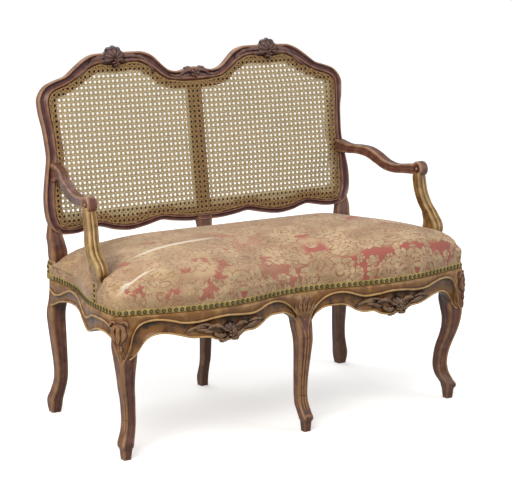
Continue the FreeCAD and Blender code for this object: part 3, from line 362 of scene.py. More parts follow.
def raise_surface(surface, height, strength, distance):
    """Fine relief on a surface, from a height socket."""
    tree = surface.id_data
    bump = tree.nodes.new("ShaderNodeBump")
    bump.inputs["Strength"].default_value = strength
    bump.inputs["Distance"].default_value = distance
    tree.links.new(height, bump.inputs["Height"])
    tree.links.new(bump.outputs["Normal"], surface.inputs["Normal"])


def use_group(nodes, group, value):
    """The outputs of a shared effect, with its one input set."""
    node = nodes.new("ShaderNodeGroup")
    node.node_tree = group
    feed(node, (value,))
    return node.outputs


grain_group = make_grain_group()
wear_and_painted_light_group = make_wear_and_painted_light_group()


def make_walnut(name, deep, body, bright, stretch, amount=1.0):
    """Waxed walnut: dark in the hollows, golden where it is worn and where light is painted on."""
    material, nodes, surface = begin_finish(name)
    grain = use_group(nodes, grain_group, stretch)
    wear_and_painted_light = use_group(nodes, wear_and_painted_light_group, amount)
    dark_body = tuple(0.62 * value for value in body)
    warm_body = (body[0] * 1.28, body[1] * 1.18, body[2] * 1.05)
    toned = blend(grain["Tone"], dark_body, warm_body)
    fibred = blend(ramp(grain["Fibre"], 0.35, 0.75, 0.0, 0.45, "LINEAR"), toned, dark_body)
    wear_tone_and_painted_light = blend(wear_and_painted_light["Bright"], fibred, bright)
    hollow = blend(wear_and_painted_light["Deep"], wear_tone_and_painted_light, deep)
    pored = blend(times(grain["Pores"], 0.35), hollow, deep)
    paint(surface, pored, ramp(grain["Fibre"], 0.0, 1.0, 0.30, 0.50, "LINEAR"))
    surface.inputs["Specular IOR Level"].default_value = 0.35
    surface.inputs["Coat Weight"].default_value = 0.10
    surface.inputs["Coat Roughness"].default_value = 0.24
    raise_surface(surface, grain["Fibre"], 0.25, 0.0012)
    return material


def other_half(edges):
    """The mirrored half of the back's outline, in the order that goes on from the right half."""
    return [(-x, up, -inner_x, inner_up) for x, up, inner_x, inner_up in reversed(edges)]


back_walnut = make_walnut(
    "walnut back", (0.050, 0.018, 0.020), (0.140, 0.052, 0.043), (0.30, 0.160, 0.090), (1, 1, 6),
)
half_edges = flow(BACK_EDGES, 150)
all_edges = half_edges + other_half(half_edges[1:-1])
# The rebate that the cane is woven through: its width, and how low and how far out it goes
REBATE_WIDTH = 21
REBATE_LOWEST = 83
REBATE_HALF = 430
BACK_DEPTH = 26


def back_ring(station):
    """The section of the back frame at one station of its outline."""
    outer_x, outer_up, inner_x, inner_up = station
    across_x = inner_x - outer_x
    across_up = inner_up - outer_up
    width = math.hypot(across_x, across_up)
    margin_x = inner_x + across_x / width * REBATE_WIDTH
    margin_up = max(inner_up + across_up / width * REBATE_WIDTH, REBATE_LOWEST)
    if inner_up < REBATE_LOWEST:
        margin_x = math.copysign(min(abs(inner_x), REBATE_HALF), inner_x)

    def across_section(section):
        return [
            (outer_x + across_x * share, outer_up + across_up * share, depth, wear_tone_and_painted_light)
            for share, depth, wear_tone_and_painted_light in section
        ]

    rebate = [(margin_x, margin_up, depth, 0.1) for depth in (7, BACK_DEPTH)]
    rounded_rear = ((0.45, BACK_DEPTH, 0.3), (0.25, 25, 0.5), (0.08, 20, 0.6), (0.0, 14, 0.55))
    return across_section(BACK_PROFILE) + rebate + across_section(rounded_rear)


def make_back_length(name, stations, stands_for):
    """One length of the back frame, closed at its joints."""
    rings = [back_ring(station) for station in stations]
    around = len(rings[0])
    shape = bmesh.new()

    def place(row, column):
        across, up, depth, wear_tone_and_painted_light = rings[row][column % around]
        return on_back(across, up, depth), wear_tone_and_painted_light

    add_grid(shape, len(rings) - 1, around, place)
    close_shape(shape)
    return make_piece(name, shape, back_walnut, stands_for)


# The joints: the stile starts a little under the crest's shoulder and ends at the lower rail
crest_end = min(i for i, edge in enumerate(half_edges) if edge[1] < 374 and edge[0] > 470)
stile_end = min(i for i, edge in enumerate(half_edges) if edge[0] < 452 and edge[1] < 60)
right_crest = half_edges[:crest_end + 1]
right_stile = half_edges[crest_end:stile_end + 1]
right_lower = half_edges[stile_end:]
make_back_length("crest_rail_moulding", other_half(right_crest[1:]) + right_crest, ["crest_rail"])
make_back_length("stile_moulding_right", right_stile, ["rear_leg_stile_right"])
make_back_length("stile_moulding_left", other_half(right_stile), ["rear_leg_stile_left"])
make_back_length("lower_back_rail", right_lower + other_half(right_lower[:-1]), ["back_bottom_rail"])

# The carving on the crest is cut in the solid: a fluted shell on each hump with leaf sprays
# trailing from it, and an open flower with leaves in the dip between the humps.
carved_walnut = make_walnut(
    "walnut carving", (0.018, 0.008, 0.009), (0.056, 0.024, 0.024), (0.17, 0.090, 0.072), (2, 2, 4),
)


def carve_leaf(shape, at, spine, width, rise, lobes):
    """A leaf along a spine of flat points, with a sunk midrib, side veins and a lobed edge."""
    length = 12
    thickness = 3.0
    stations = flow(spine, length + 1)

    def place(row, column):
        here = stations[row]
        before = stations[max(row - 1, 0)]
        after = stations[min(row + 1, length)]
        run = math.dist(before, after) or 1
        side_u = -(after[1] - before[1]) / run
        side_v = (after[0] - before[0]) / run
        share = row / length
        lobe = 1 + 0.22 * math.sin(share * lobes * 2 * math.pi)
        half = width / 2 * math.sin(math.pi * min(share * 0.92 + 0.08, 1.0)) ** 0.7 * lobe
        spread = column / 4 - 1
        dome = (1 - spread * spread) ** 0.6 if abs(spread) < 1 else 0.0
        rib = 0.30 * max(0.0, 1 - abs(spread) / 0.25)
        vein = 0.16 * math.sin(share * lobes * 4 * math.pi + abs(spread) * 3)
        fullness = 0.35 + 0.65 * math.sin(math.pi * share) ** 0.5
        height = rise * max(dome - rib + vein * dome, 0) * fullness
        if abs(spread) == 1:
            height = -thickness
        wear_tone_and_painted_light = max(0.0, min(1.0, height / rise * 1.15))
        return at(here[0] + side_u * half * spread, here[1] + side_v * half * spread, height), wear_tone_and_painted_light

    add_grid(shape, length, 8, place)


def carve_pair(shape, at, spine, width, rise, lobes):
    """A leaf and its mirror image, or one leaf if it stands in the middle."""
    for side in (-1, 1) if any(u for u, v in spine) else (1,):
        carve_leaf(shape, at, on_side(side, spine), width, rise, lobes)


def turned_place(at, centre, reach, angle, height):
    """A place on a surface at a reach and an angle from a centre."""
    return at(centre[0] + reach * math.cos(angle), centre[1] + reach * math.sin(angle), height)


def carve_shell(shape, at, centre, radius, flutes, rise, opening=215, turn=90.0, backing=19.0):
    """A fluted shell: a fan of ribs from a small eye, with a scalloped rim and a flat back."""
    around = flutes * 8

    def place(row, column):
        angle = math.radians(turn - opening / 2 + opening * row / around)
        wave = abs(math.sin(math.pi * flutes * row / around))
        rim = radius * (0.93 + 0.09 * wave)
        if column <= 9:
            share = column / 9
            reach = rim * share
            dome = math.sin(math.pi * (0.18 + 0.82 * share)) ** 0.8 if share < 1 else 0
            height = rise * dome * (0.78 + 0.22 * wave)
            wear_tone_and_painted_light = max(0.0, min(1.0, (0.40 + 0.45 * wave) * dome))
        else:
            reach = rim * (11 - column) / 2
            height = -backing
            wear_tone_and_painted_light = 0.1
        if column == 9:
            height = -1.5
        return turned_place(at, centre, reach, angle, height), wear_tone_and_painted_light

    add_grid(shape, around, 11, place)


def carve_flower(shape, at, centre, radius, petals, rise, backing=19.0):
    """An open flower: round petals with sunk gaps about a raised eye."""
    around = petals * 8

    def place(row, column):
        angle = 2 * math.pi * (row % around) / around
        wave = abs(math.cos(petals * angle / 2))
        rim = radius * (0.78 + 0.26 * wave)
        if column <= 8:
            share = column / 8
            reach = rim * share
            eye = max(0.0, 1 - (share / 0.26) ** 2)
            petal = math.sin(math.pi * min(share * 1.05, 1.0)) ** 0.7 * (0.45 + 0.55 * wave)
            height = rise * max(eye * 0.9, petal)
            wear_tone_and_painted_light = min(1.0, height / rise)
        else:
            reach = rim * (10 - column) / 2
            height = -backing
            wear_tone_and_painted_light = 0.1
        if column == 8:
            height = -1.5
        return turned_place(at, centre, reach, angle, height), wear_tone_and_painted_light

    add_grid(shape, around, 10, place)


def crest_surface(across, up, height):
    """A place on the crest's hollow, with height standing towards the sitter."""
    return on_back(across, up, 3.5 - height)


crest_carving = bmesh.new()
for side in (-1, 1):
    hump = side * 247 - 4

    def by_side(u, v, height, hump=hump, side=side):
        """A place beside a hump's middle, counted outwards."""
        return crest_surface(hump + side * u, v, height)

    carve_shell(crest_carving, by_side, (0, 484), 36, 7, 15, 235)
    carve_flower(crest_carving, by_side, (-2, 474), 14, 5, 17, 4)
    for out in (-1, 1):
        reach = (
            [(14, 486), (34, 491), (56, 487), (80, 474)],
            [(10, 479), (30, 480), (50, 484), (66, 489)],
            [(44, 484), (62, 479), (80, 469), (104, 455)],
            [(74, 474), (88, 461), (106, 447), (126, 436)],
        ) if out > 0 else (
            [(14, 486), (36, 492), (58, 491), (80, 486)],
            [(10, 479), (30, 480), (48, 480), (64, 487)],
            [(52, 487), (76, 488), (98, 478), (112, 464)],
            [(84, 480), (100, 471), (114, 456), (126, 440)],
        )
        for index, spine in enumerate(reach):
            width = (15, 11, 12, 9)[index]
            rise = (8, 6.5, 6, 4.5)[index]
            carve_leaf(crest_carving, by_side, on_side(out, spine), width, rise, 3 + index % 2)
carve_flower(crest_carving, crest_surface, (0, 434), 16, 5, 12, 12)
for side in (-1, 1):
    for spine, width, rise in (
        ([(8, 438), (22, 443), (36, 438), (50, 428)], 13, 7),
        ([(10, 430), (26, 428), (42, 424), (58, 422)], 11, 6),
        ([(34, 434), (48, 430), (64, 429), (84, 436)], 10, 5.5),
        ([(6, 444), (14, 449), (26, 449), (36, 444)], 9, 6),
    ):
        carve_leaf(crest_carving, crest_surface, on_side(side, spine), width, rise, 3)
close_shape(crest_carving)
make_piece("crest_carving", crest_carving, carved_walnut)

# The cane is woven through holes in the rebate of the back frame: pairs of upright and level
# strands, crossed by slanting strands both ways, with a flat binder over the holes.
CANE_PITCH = 13.9
HALF_PITCH = CANE_PITCH / 2
CANE_LOWEST = 36
WEAVE_START = 44
BORDER_WIDTH = 21
MUNTIN_HALF = 24
STRAND_LEVEL = 5.2


def make_cane_finish():
    """Split cane: straw and olive in the field, golden over the dark holes of the border."""
    material, nodes, surface = begin_finish("split cane")
    place = nodes.new("ShaderNodeTexCoord").outputs["Object"]
    strands = noise(place, 160, 3)
    straw = blend(strands, (0.20, 0.130, 0.055), (0.72, 0.56, 0.31))
    olive = blend(noise(place, 11), (0.36, 0.29, 0.15), straw)
    golden = blend(strands, (0.036, 0.016, 0.004), (0.54, 0.31, 0.100))
    paint(surface, blend(read_wear_tone_and_painted_light(nodes), olive, golden), 0.42)
    raise_surface(surface, strands, 0.4, 0.0004)
    return material


cane_finish = make_cane_finish()
inner_line = [(edge[2], edge[3]) for edge in half_edges]


def inside_cane(across, up):
    """How far a place is inside the moulding, negative when it is under it."""
    nearest = 1e9
    across = abs(across)
    inside = False
    for here, there in zip(inner_line, inner_line[1:]):
        run_x = there[0] - here[0]
        run_y = there[1] - here[1]
        length = run_x * run_x + run_y * run_y or 1
        share = min(max(((across - here[0]) * run_x + (up - here[1]) * run_y) / length, 0), 1)
        nearest = min(nearest, math.hypot(across - here[0] - share * run_x, up - here[1] - share * run_y))
        if (here[1] > up) != (there[1] > up) and across < here[0] + (up - here[1]) / run_y * run_x:
            inside = not inside
    return nearest if inside else -nearest


depth_table = {}
for column in range(-70, 71):
    for row in range(0, 71):
        depth_table[column, row] = inside_cane(column * HALF_PITCH, CANE_LOWEST + row * HALF_PITCH)


def cane_depth(across, up):
    """The distance inside the moulding, read between the table's places."""
    column = across / HALF_PITCH
    row = (up - CANE_LOWEST) / HALF_PITCH
    low_column = math.floor(column)
    low_row = math.floor(row)
    total = 0.0
    for step_column in (0, 1):
        for step_row in (0, 1):
            share = abs(1 - step_column - (column - low_column)) * abs(1 - step_row - (row - low_row))
            total += share * depth_table.get((low_column + step_column, low_row + step_row), -20.0)
    return total


def add_strand(shape, start, step, count, width, lift):
    """One flat strand through evenly stepped places, kept where it lies inside the moulding."""
    runs = [[]]
    for index in range(count):
        across = start[0] + step[0] * index
        up = start[1] + step[1] * index
        if cane_depth(across, up) > -1.5:
            runs[-1].append((across, up, index))
        elif runs[-1]:
            runs.append([])
    length = math.hypot(*step)
    side = (-step[1] / length * width / 2, step[0] / length * width / 2)
    for run in runs:
        if len(run) < 2:
            continue

        def place(row, column, run=run):
            across, up, index = run[row]
            spread = 2 * column - 1
            golden = 0.0
            if cane_depth(across, up) < BORDER_WIDTH or abs(across) < MUNTIN_HALF:
                golden = 0.85
                spread *= 0.70
            point = on_back(across + side[0] * spread, up + side[1] * spread, STRAND_LEVEL - lift(index))
            return point, golden

        add_grid(shape, len(run) - 1, 1, place)


def woven(over):
    """The lift of a strand that goes over two crossings and under the next two."""
    return lambda index: 0.45 * over * (-1) ** (index // 2)


def slanting(under, above):
    """The lift of a slanting strand, which lies on top of the level and upright ones."""
    return lambda index: above if index % 2 else under


def thicken(piece, name, thickness, offset=0):
    """Gives a thin sheet its thickness."""
    depth = piece.modifiers.new(name, "SOLIDIFY")
    depth.thickness = thickness
    depth.offset = offset


cane = bmesh.new()
for column in range(-33, 34):
    for offset in (-2.3, 2.3):
        over = 1 if (column + (offset > 0)) % 2 else -1
        start = (column * CANE_PITCH + offset, WEAVE_START)
        add_strand(cane, start, (0, HALF_PITCH), 66, 3.0, woven(over))
for row in range(0, 33):
    for offset in (-2.3, 2.3):
        over = -1 if (row + (offset > 0)) % 2 else 1
        start = (-34 * CANE_PITCH, WEAVE_START + row * CANE_PITCH + offset)
        add_strand(cane, start, (HALF_PITCH, 0), 138, 3.0, woven(over))
for line in range(-68, 36):
    across = line * CANE_PITCH + HALF_PITCH
    add_strand(cane, (across, WEAVE_START), (HALF_PITCH, HALF_PITCH), 66, 3.1, slanting(0.8, 1.1))
    add_strand(cane, (-across, WEAVE_START), (-HALF_PITCH, HALF_PITCH), 66, 3.1, slanting(1.3, 1.7))
cane_piece = make_piece("woven_cane", cane, cane_finish, ["cane_panel"])
thicken(cane_piece, "strand thickness", 0.0005)

binder = bmesh.new()


def binder_place(row, column):
    """A place on the flat binder, from the moulding's inner edge inwards."""
    outer_x, outer_up, inner_x, inner_up = all_edges[row % len(all_edges)]
    width = math.hypot(inner_x - outer_x, inner_up - outer_up)
    across, depth = ((0.4, 6.0), (0.8, 4.4), (2.4, 3.4), (4.0, 4.4), (4.4, 6.0))[column % 5]
    x = inner_x + (inner_x - outer_x) / width * across
    up = inner_up + (inner_up - outer_up) / width * across
    return on_back(x, up, depth), 0.9


add_grid(binder, len(all_edges), 5, binder_place)
close_shape(binder)
make_piece("cane_binder", binder, cane_finish)

# The rear legs go down from the stiles, square and slightly swept, with a stump between the seat
# and the moulding. The centre one is slimmer and carries the lower back rail.
leg_walnut = make_walnut(
    "walnut legs", (0.026, 0.009, 0.008), (0.120, 0.044, 0.028), (0.27, 0.142, 0.064), (6, 6, 1),
)


def soft_square(angle):
    """A place on a square with soft corners, with its half width as one."""
    c = math.cos(angle)
    s = math.sin(angle)
    reach = 1 / (abs(c) ** 6 + abs(s) ** 6) ** (1 / 6)
    return c * reach, s * reach


def ring_point(angle, half_u, half_v):
    """A place on a square section with soft corners, hollow faces and a bead at each arris."""
    u, v = soft_square(angle)
    corner = abs(math.sin(2 * angle))
    bead = max(0.0, (corner - 0.86) / 0.14)
    groove = max(0.0, 1 - abs(corner - 0.66) / 0.16)
    reach = 1 - 0.05 * (1 - corner) - 0.055 * groove + 0.015 * bead
    wear_tone_and_painted_light = 0.42 + 0.40 * bead ** 0.7 - 0.42 * groove
    return u * reach * half_u, v * reach * half_v, max(wear_tone_and_painted_light, 0.0)


def add_bar(shape, stations, count, points, upright=False):
    """A carved bar through stations of x, y, z and the two halves of its section, in millimetres."""
    smooth = flow(stations, count)

    def place(row, column):
        x, y, z, half_u, half_v = smooth[row]
        u, v, wear_tone_and_painted_light = ring_point(2 * math.pi * (column % points) / points, half_u, half_v)
        if upright:
            return Vector((x + u, y, z + v)) / 1000, wear_tone_and_painted_light
        # Faces that look outwards, away from the middle, are made brighter: painted light on the outer
        # sides of the legs and supports.
        outer_face_painted_light = max(0.0, u * x / abs(x or 1) / half_u)
        return Vector((x + u, y + v, z)) / 1000, min(wear_tone_and_painted_light + 0.26 * outer_face_painted_light ** 2, 1.0)

    add_grid(shape, count - 1, points, place)


for side, name, stump in ((1, "right", 464), (-1, "left", 452)):
    rear_leg = bmesh.new()
    add_bar(rear_leg, on_side(side, [
        (468, 229.2, 0, 13, 13), (468, 229.2, 18, 16.5, 16), (467, 228.4, 38, 18, 17),
        (461.5, 223.8, 58, 16.6, 16), (454, 218.2, 95, 15.8, 14.6), (454, 218.2, 140, 16.8, 15),
        (459, 220.2, 215, 20.5, 16), (461.5, 222.2, 272, 23, 16), (stump + 3, 222.2, 308, 23, 16),
        (stump, 222.2, 345, 22.5, 16), (stump, 222.2, 405, 22.5, 15), (stump, 224.2, 435, 24, 15),
        (stump + 2, 226.2, 456, 22, 14), (stump + 5, 230, 476, 21, 12), (stump + 7, 235, 508, 13, 9),
    ]), 70, 40)
    close_shape(rear_leg)
    make_piece("rear_leg_" + name, rear_leg, leg_walnut, ["rear_leg_stile_" + name])
centre_rear = bmesh.new()
add_bar(centre_rear, [
    (0, 239.2, 0, 12, 12), (0, 240.2, 25, 13, 13), (0, 230.2, 60, 12, 12), (0, 224.2, 95, 13.2, 12.5),
    (1, 223.2, 205, 15, 14), (1, 223.2, 330, 17.5, 15), (0, 223.2, 405, 17.5, 14),
    (0, 225.2, 450, 19, 13), (0, 230.2, 480, 23, 12), (0, 232.2, 494, 26, 11),
], 60, 40)
close_shape(centre_rear)
make_piece("rear_leg_middle", centre_rear, leg_walnut, ["rear_leg_centre"])

# The seat rails are walnut, serpentine in plan. Each is worked with a flat band under the braid,
# a raised bead that follows the lower edge, a hollow below it and a light bead on the edge itself.
FRAME_HALF = 536
REAR_HALF = 483
FRAME_REACH = 253
MIDDLE_Y = -14.81
DIP_HALF = 110
BULGE_HALF = 160
BULGE_DEPTH = 38
CORNER_RADIUS = 24
RAIL_TOP = 404
rail_walnut = make_walnut(
    "walnut rails", (0.024, 0.010, 0.004), (0.190, 0.085, 0.023), (0.46, 0.28, 0.105), (1, 1, 7),
)


def arc_run(start, middle, end, count):
    """Places along a round arc through three flat points."""
    ax, ay = start
    bx, by = middle
    cx, cy = end
    twice = 2 * (ax * (by - cy) + bx * (cy - ay) + cx * (ay - by))
    square_a = ax * ax + ay * ay
    square_b = bx * bx + by * by
    square_c = cx * cx + cy * cy
    ox = (square_a * (by - cy) + square_b * (cy - ay) + square_c * (ay - by)) / twice
    oy = (square_a * (cx - bx) + square_b * (ax - cx) + square_c * (bx - ax)) / twice
    radius = math.hypot(ax - ox, ay - oy)
    first = math.atan2(ay - oy, ax - ox)
    second = (math.atan2(by - oy, bx - ox) - first + math.pi) % (2 * math.pi) - math.pi
    third = (math.atan2(cy - oy, cx - ox) - first) % (2 * math.pi)
    if second < 0:
        third -= 2 * math.pi
    angles = [first + third * index / count for index in range(count + 1)]
    return [(ox + radius * math.cos(angle), oy + radius * math.sin(angle)) for angle in angles]


def half_plan(inset, fine):
    """The right half of the seat's outline, from the front's middle to the rear corner."""
    outer = FRAME_HALF - inset
    rear = (REAR_HALF - inset, MIDDLE_Y + FRAME_REACH - inset)
    dip = DIP_HALF * outer / FRAME_HALF
    bulge = BULGE_HALF * outer / FRAME_HALF
    front = MIDDLE_Y - FRAME_REACH + inset
    turn = front - BULGE_DEPTH * DIP_HALF / (DIP_HALF + BULGE_HALF)
    slope = 2 * BULGE_DEPTH / (DIP_HALF + BULGE_HALF) * BULGE_HALF / bulge
    radius = max(CORNER_RADIUS - inset, 2)
    flank = dip + 2 * bulge
    end_x = outer - radius
    end_y = turn + slope * (end_x - flank)
    diagonal = radius * math.sqrt(0.5)

    def pull(y):
        return MIDDLE_Y + (y + 13) * (FRAME_REACH - inset) / FRAME_REACH

    run = arc_run((-dip, turn), (0, front), (dip, turn), 16 * fine)[8 * fine:]
    run += arc_run((dip, turn), (dip + bulge, front - BULGE_DEPTH), (flank, turn), 20 * fine)[1:]
    for index in range(1, 6 * fine):
        share = index / (6 * fine)
        run.append((flank + (end_x - flank) * share, turn + (end_y - turn) * share))
    corner = (end_x + diagonal, end_y + radius - diagonal)
    run += arc_run((end_x, end_y), corner, (outer, end_y + radius), 6 * fine)
    waist = (outer - 22, pull(-30))
    run += arc_run((outer, end_y + radius), (outer - 2, pull(-130)), waist, 10 * fine)[1:]
    run += arc_run(waist, (outer - 42, pull(40)), (rear[0], pull(120)), 10 * fine)[1:]
    for index in range(1, 7 * fine):
        run.append((rear[0], pull(120) + (rear[1] - pull(120)) * index / (7 * fine)))
    run.append(rear)
    return run


FRONT_LOW = (
    (8, 248), (14, 268), (22, 287), (34, 304), (60, 318), (95, 321), (112, 320.5), (128, 315),
    (147, 304), (168, 297), (190, 297), (204, 295), (216, 288), (235, 283), (258, 282), (285, 288),
    (300, 294), (322, 297), (350, 299), (386, 309), (412, 315), (434, 316), (450, 312), (463, 304),
    (473, 292), (481, 279), (490, 266), (504, 256),
)
FRONT_BEAD = (
    (8, 268), (14, 290), (24, 312), (38, 329), (60, 345), (85, 354), (110, 355.5), (130, 352),
    (150, 345), (172, 340), (210, 342), (251, 346), (292, 344), (333, 339), (373, 340), (400, 347),
    (425, 352), (449, 352.5), (470, 348), (484, 339), (493, 325), (500, 306), (505, 282),
)
SIDE_LOW = (
    (-237, 306), (-225, 312), (-205, 317), (-180, 318), (-150, 315), (-125, 307), (-105, 299),
    (-90, 297), (-74, 300), (-50, 309), (-20, 319), (10, 325), (45, 328), (87, 326), (130, 321),
    (160, 314), (185, 304), (209, 296),
)
SIDE_BEAD = (
    (-237, 335), (-222, 341), (-205, 346), (-180, 348), (-150, 348), (-125, 345), (-105, 337),
    (-90, 332), (-72, 331), (-52, 338), (-30, 348), (0, 356), (35, 360), (70, 361), (95, 358),
    (125, 348), (152, 337), (178, 332), (192, 334), (209, 342),
)


def height_at(table, across):
    """Reads a smooth height from a table of places."""
    if across <= table[0][0]:
        return table[0][1]
    for index in range(len(table) - 1):
        if across <= table[index + 1][0]:
            before = table[max(index - 1, 0)][1]
            start = table[index][1]
            end = table[index + 1][1]
            after = table[min(index + 2, len(table) - 1)][1]
            t = (across - table[index][0]) / (table[index + 1][0] - table[index][0])
            rise = (end - before) / 2
            fall = (after - start) / 2
            return (
                (2 * t ** 3 - 3 * t * t + 1) * start + (t ** 3 - 2 * t * t + t) * rise
                + (3 * t * t - 2 * t ** 3) * end + (t ** 3 - t * t) * fall
            )
    return table[-1][1]


def normals_of(run):
    """The outward direction at each place of a plan line."""
    out = []
    for index, here in enumerate(run):
        before = run[max(index - 1, 0)]
        after = run[min(index + 1, len(run) - 1)]
        length = math.dist(before, after) or 1
        out.append(((after[1] - before[1]) / length, -(after[0] - before[0]) / length))
    return out


def rail_section(low, bead):
    """Offsets outwards, heights and brightness from the rail's top round to its inner face."""
    band_top = min(365, bead + 6)
    room = max(bead - low, 12)
    return [
        (-7, RAIL_TOP, 0.2), (-7, 366, 0.2), (0, 365, 0.6), (0.6, (365 + band_top) / 2, 0.5),
        (0.2, bead + 4.6, 0.4), (-0.6, bead + 3.6, 0.05), (2.6, bead + 2.4, 0.9),
        (4.0, bead + 0.4, 1.0), (3.0, bead - 1.8, 0.9), (-1.8, bead - 3.4, 0.05),
        (-4.2, bead - 0.3 * room, 0.15), (-5.2, bead - 0.5 * room, 0.3),
        (-4.6, bead - 0.68 * room, 0.35), (-2.4, low + 5.2, 0.2), (0.4, low + 4.4, 0.85),
        (1.6, low + 2.4, 1.0), (0.8, low + 0.4, 0.8), (-3, low - 0.4, 0.3), (-26, low, 0.1),
        (-30, low + 3, 0.1), (-32, RAIL_TOP, 0.1),
    ]


def make_rail(name, run, along, low_table, bead_table, stands_for):
    """One seat rail along a plan line, with heights read by x, along 0, or by y, along 1."""
    outward = normals_of(run)
    sections = []
    for spot in run:
        low = height_at(low_table, spot[along])
        sections.append(rail_section(low, height_at(bead_table, spot[along])))
    around = len(sections[0])
    shape = bmesh.new()

    def place(row, column):
        offset, height, wear_tone_and_painted_light = sections[row][column % around]
        x = run[row][0] + outward[row][0] * offset
        y = run[row][1] + outward[row][1] * offset
        return Vector((x, y, height)) / 1000, wear_tone_and_painted_light

    add_grid(shape, len(run) - 1, around, place)
    close_shape(shape)
    return make_piece(name, shape, rail_walnut, stands_for)


plan_line = half_plan(0, 4)
SIDES = ((1, "right"), (-1, "left"))
front_run = [p for p in plan_line if 0 < p[0] < 506 and p[1] < -200]
side_run = [p for p in plan_line if -238 < p[1] < 209 and p[0] > 400]
for side, name in SIDES:
    front = on_side(side, front_run)[::side]
    sides = on_side(side, side_run)[::side]
    low = on_side(side, FRONT_LOW)[::side]
    bead = on_side(side, FRONT_BEAD)[::side]
    make_rail("front_apron_" + name, front, 0, low, bead, ["front_rail_" + name])
    make_rail("side_apron_" + name, sides, 1, SIDE_LOW, SIDE_BEAD, ["side_rail_" + name])

# Each front rail has an asymmetrical shell and flower in its hanging middle, with leaves that run
# out along the hollow. They are carved in the rail's own wood.
apron_walnut = make_walnut(
    "walnut apron carving", (0.007, 0.004, 0.003), (0.070, 0.032, 0.020), (0.24, 0.145, 0.080),
    (2, 2, 4),
)
front_places = sorted(plan_line[:len(plan_line) // 2])


def front_face(across):
    """Where the front rail's face stands, in millimetres from front to rear, at a place across."""
    across = abs(across)
    for here, there in zip(front_places, front_places[1:]):
        if here[0] <= across <= there[0]:
            share = (across - here[0]) / ((there[0] - here[0]) or 1)
            return here[1] + (there[1] - here[1]) * share
    return front_places[-1][1]


def apron_surface(across, up, height):
    """A place on the hollow of a front rail, with height standing forwards."""
    return Vector((across, front_face(across) + 3.0 - height, up)) / 1000


apron_carving = bmesh.new()
for side, middle in ((-1, -247), (1, 268)):

    def on_apron(u, v, height, middle=middle):
        """A place beside the middle of a front rail."""
        return apron_surface(middle + u, v, height)

    carve_shell(apron_carving, on_apron, (2, 305), 25, 6, 13, 200, 75, 14)
    carve_flower(apron_carving, on_apron, (4, 300), 12, 5, 15, 8)
    for spine, width, rise in (
        ([(-8, 300), (-24, 296), (-38, 301), (-46, 312)], 15, 10),
        ([(8, 298), (24, 294), (38, 300), (45, 311)], 14, 9),
        ([(-14, 312), (-30, 322), (-48, 324), (-66, 316)], 13, 8),
        ([(14, 312), (30, 321), (46, 322), (60, 315)], 12, 8),
        ([(-4, 296), (-8, 287), (-20, 282), (-30, 286)], 10, 8),
        ([(6, 295), (12, 286), (22, 283), (30, 288)], 10, 8),
        ([(-44, 308), (-60, 311), (-78, 317), (-96, 318)], 12, 6.5),
        ([(-66, 322), (-84, 325), (-102, 323), (-122, 315)], 10, 5.5),
        ([(-40, 318), (-58, 328), (-80, 330), (-98, 327)], 8, 5),
        ([(42, 307), (58, 309), (74, 314), (92, 318)], 12, 6.5),
        ([(58, 320), (76, 324), (94, 323), (112, 317)], 10, 5.5),
    ):
        carve_leaf(apron_carving, on_apron, spine, width, rise, 3)
close_shape(apron_carving)
make_piece("apron_carving", apron_carving, apron_walnut)

# The front legs are cabriole legs. Two beads run down the front of each from the rails to a small
# scroll toe on a block foot, and the heads are carved with a husk or a palmette.
FRONT_LEG = (
    (503, -233.8, 0, 10.3, 10.3), (503, -233.8, 14, 11.8, 11.8), (503, -234, 27, 13.2, 13.2),
    (504, -235, 33, 16.2, 16.2), (503.5, -234.5, 41, 17, 17), (498, -228.5, 52, 16.4, 16.4),
    (490, -221, 68, 15.3, 15.3), (485.5, -216.5, 92, 14.8, 14.8), (487, -218, 122, 15.2, 15.2),
    (491, -223, 150, 16, 16), (498, -231, 178, 17.2, 17.2), (502.5, -237.5, 205, 18.6, 18.6),
    (504.5, -240, 232, 21, 21), (504, -238, 258, 24, 24), (504, -235, 284, 26, 26),
    (506, -234.5, 312, 23.5, 23.5), (506, -233, 345, 22, 22), (506, -233, 364, 22, 22),
)
CENTRE_LEG = (
    (0.5, -277.8, 0, 9.8, 9.8), (0.5, -277.8, 14, 11, 11), (0.5, -277.6, 27, 12, 12),
    (0, -279.5, 33, 15, 15), (-0.5, -277.5, 41, 15.5, 15.5), (-1, -269.5, 53, 15, 15),
    (-2, -258.5, 70, 13.8, 13.8), (-2.5, -254.8, 95, 13.5, 13.5), (-2.5, -255.2, 125, 14, 14),
    (-2.5, -256.8, 155, 15, 15), (-2.5, -261, 190, 17, 16.5), (-2.5, -263.8, 225, 19, 18.5),
    (-2, -263.2, 250, 21.5, 20), (-1, -256, 275, 24, 21.5), (0, -248, 300, 24.5, 22.5),
    (0, -241, 330, 22, 21), (0, -240, 364, 22, 21),
)


def toe_swell(shape, x, y, turn):
    """The rolled toe that lies across the front of a foot, above its block."""
    along = Vector((math.cos(turn), math.sin(turn), 0))
    across = Vector((-along.y, along.x, 0))
    centre = Vector((x, y, 39)) + along * 14
    made = bmesh.ops.create_uvsphere(shape, u_segments=24, v_segments=14, radius=1)
    bright = shape.verts.layers.float["wear_tone_and_painted_light"]
    for vert in made["verts"]:
        out, level, up = vert.co
        vert[bright] = max(0.0, min(1.0, 0.45 + 0.5 * up))
        vert.co = (centre + along * out * 7.5 + across * level * 11.5 + Vector((0, 0, up * 8.5))) / 1000


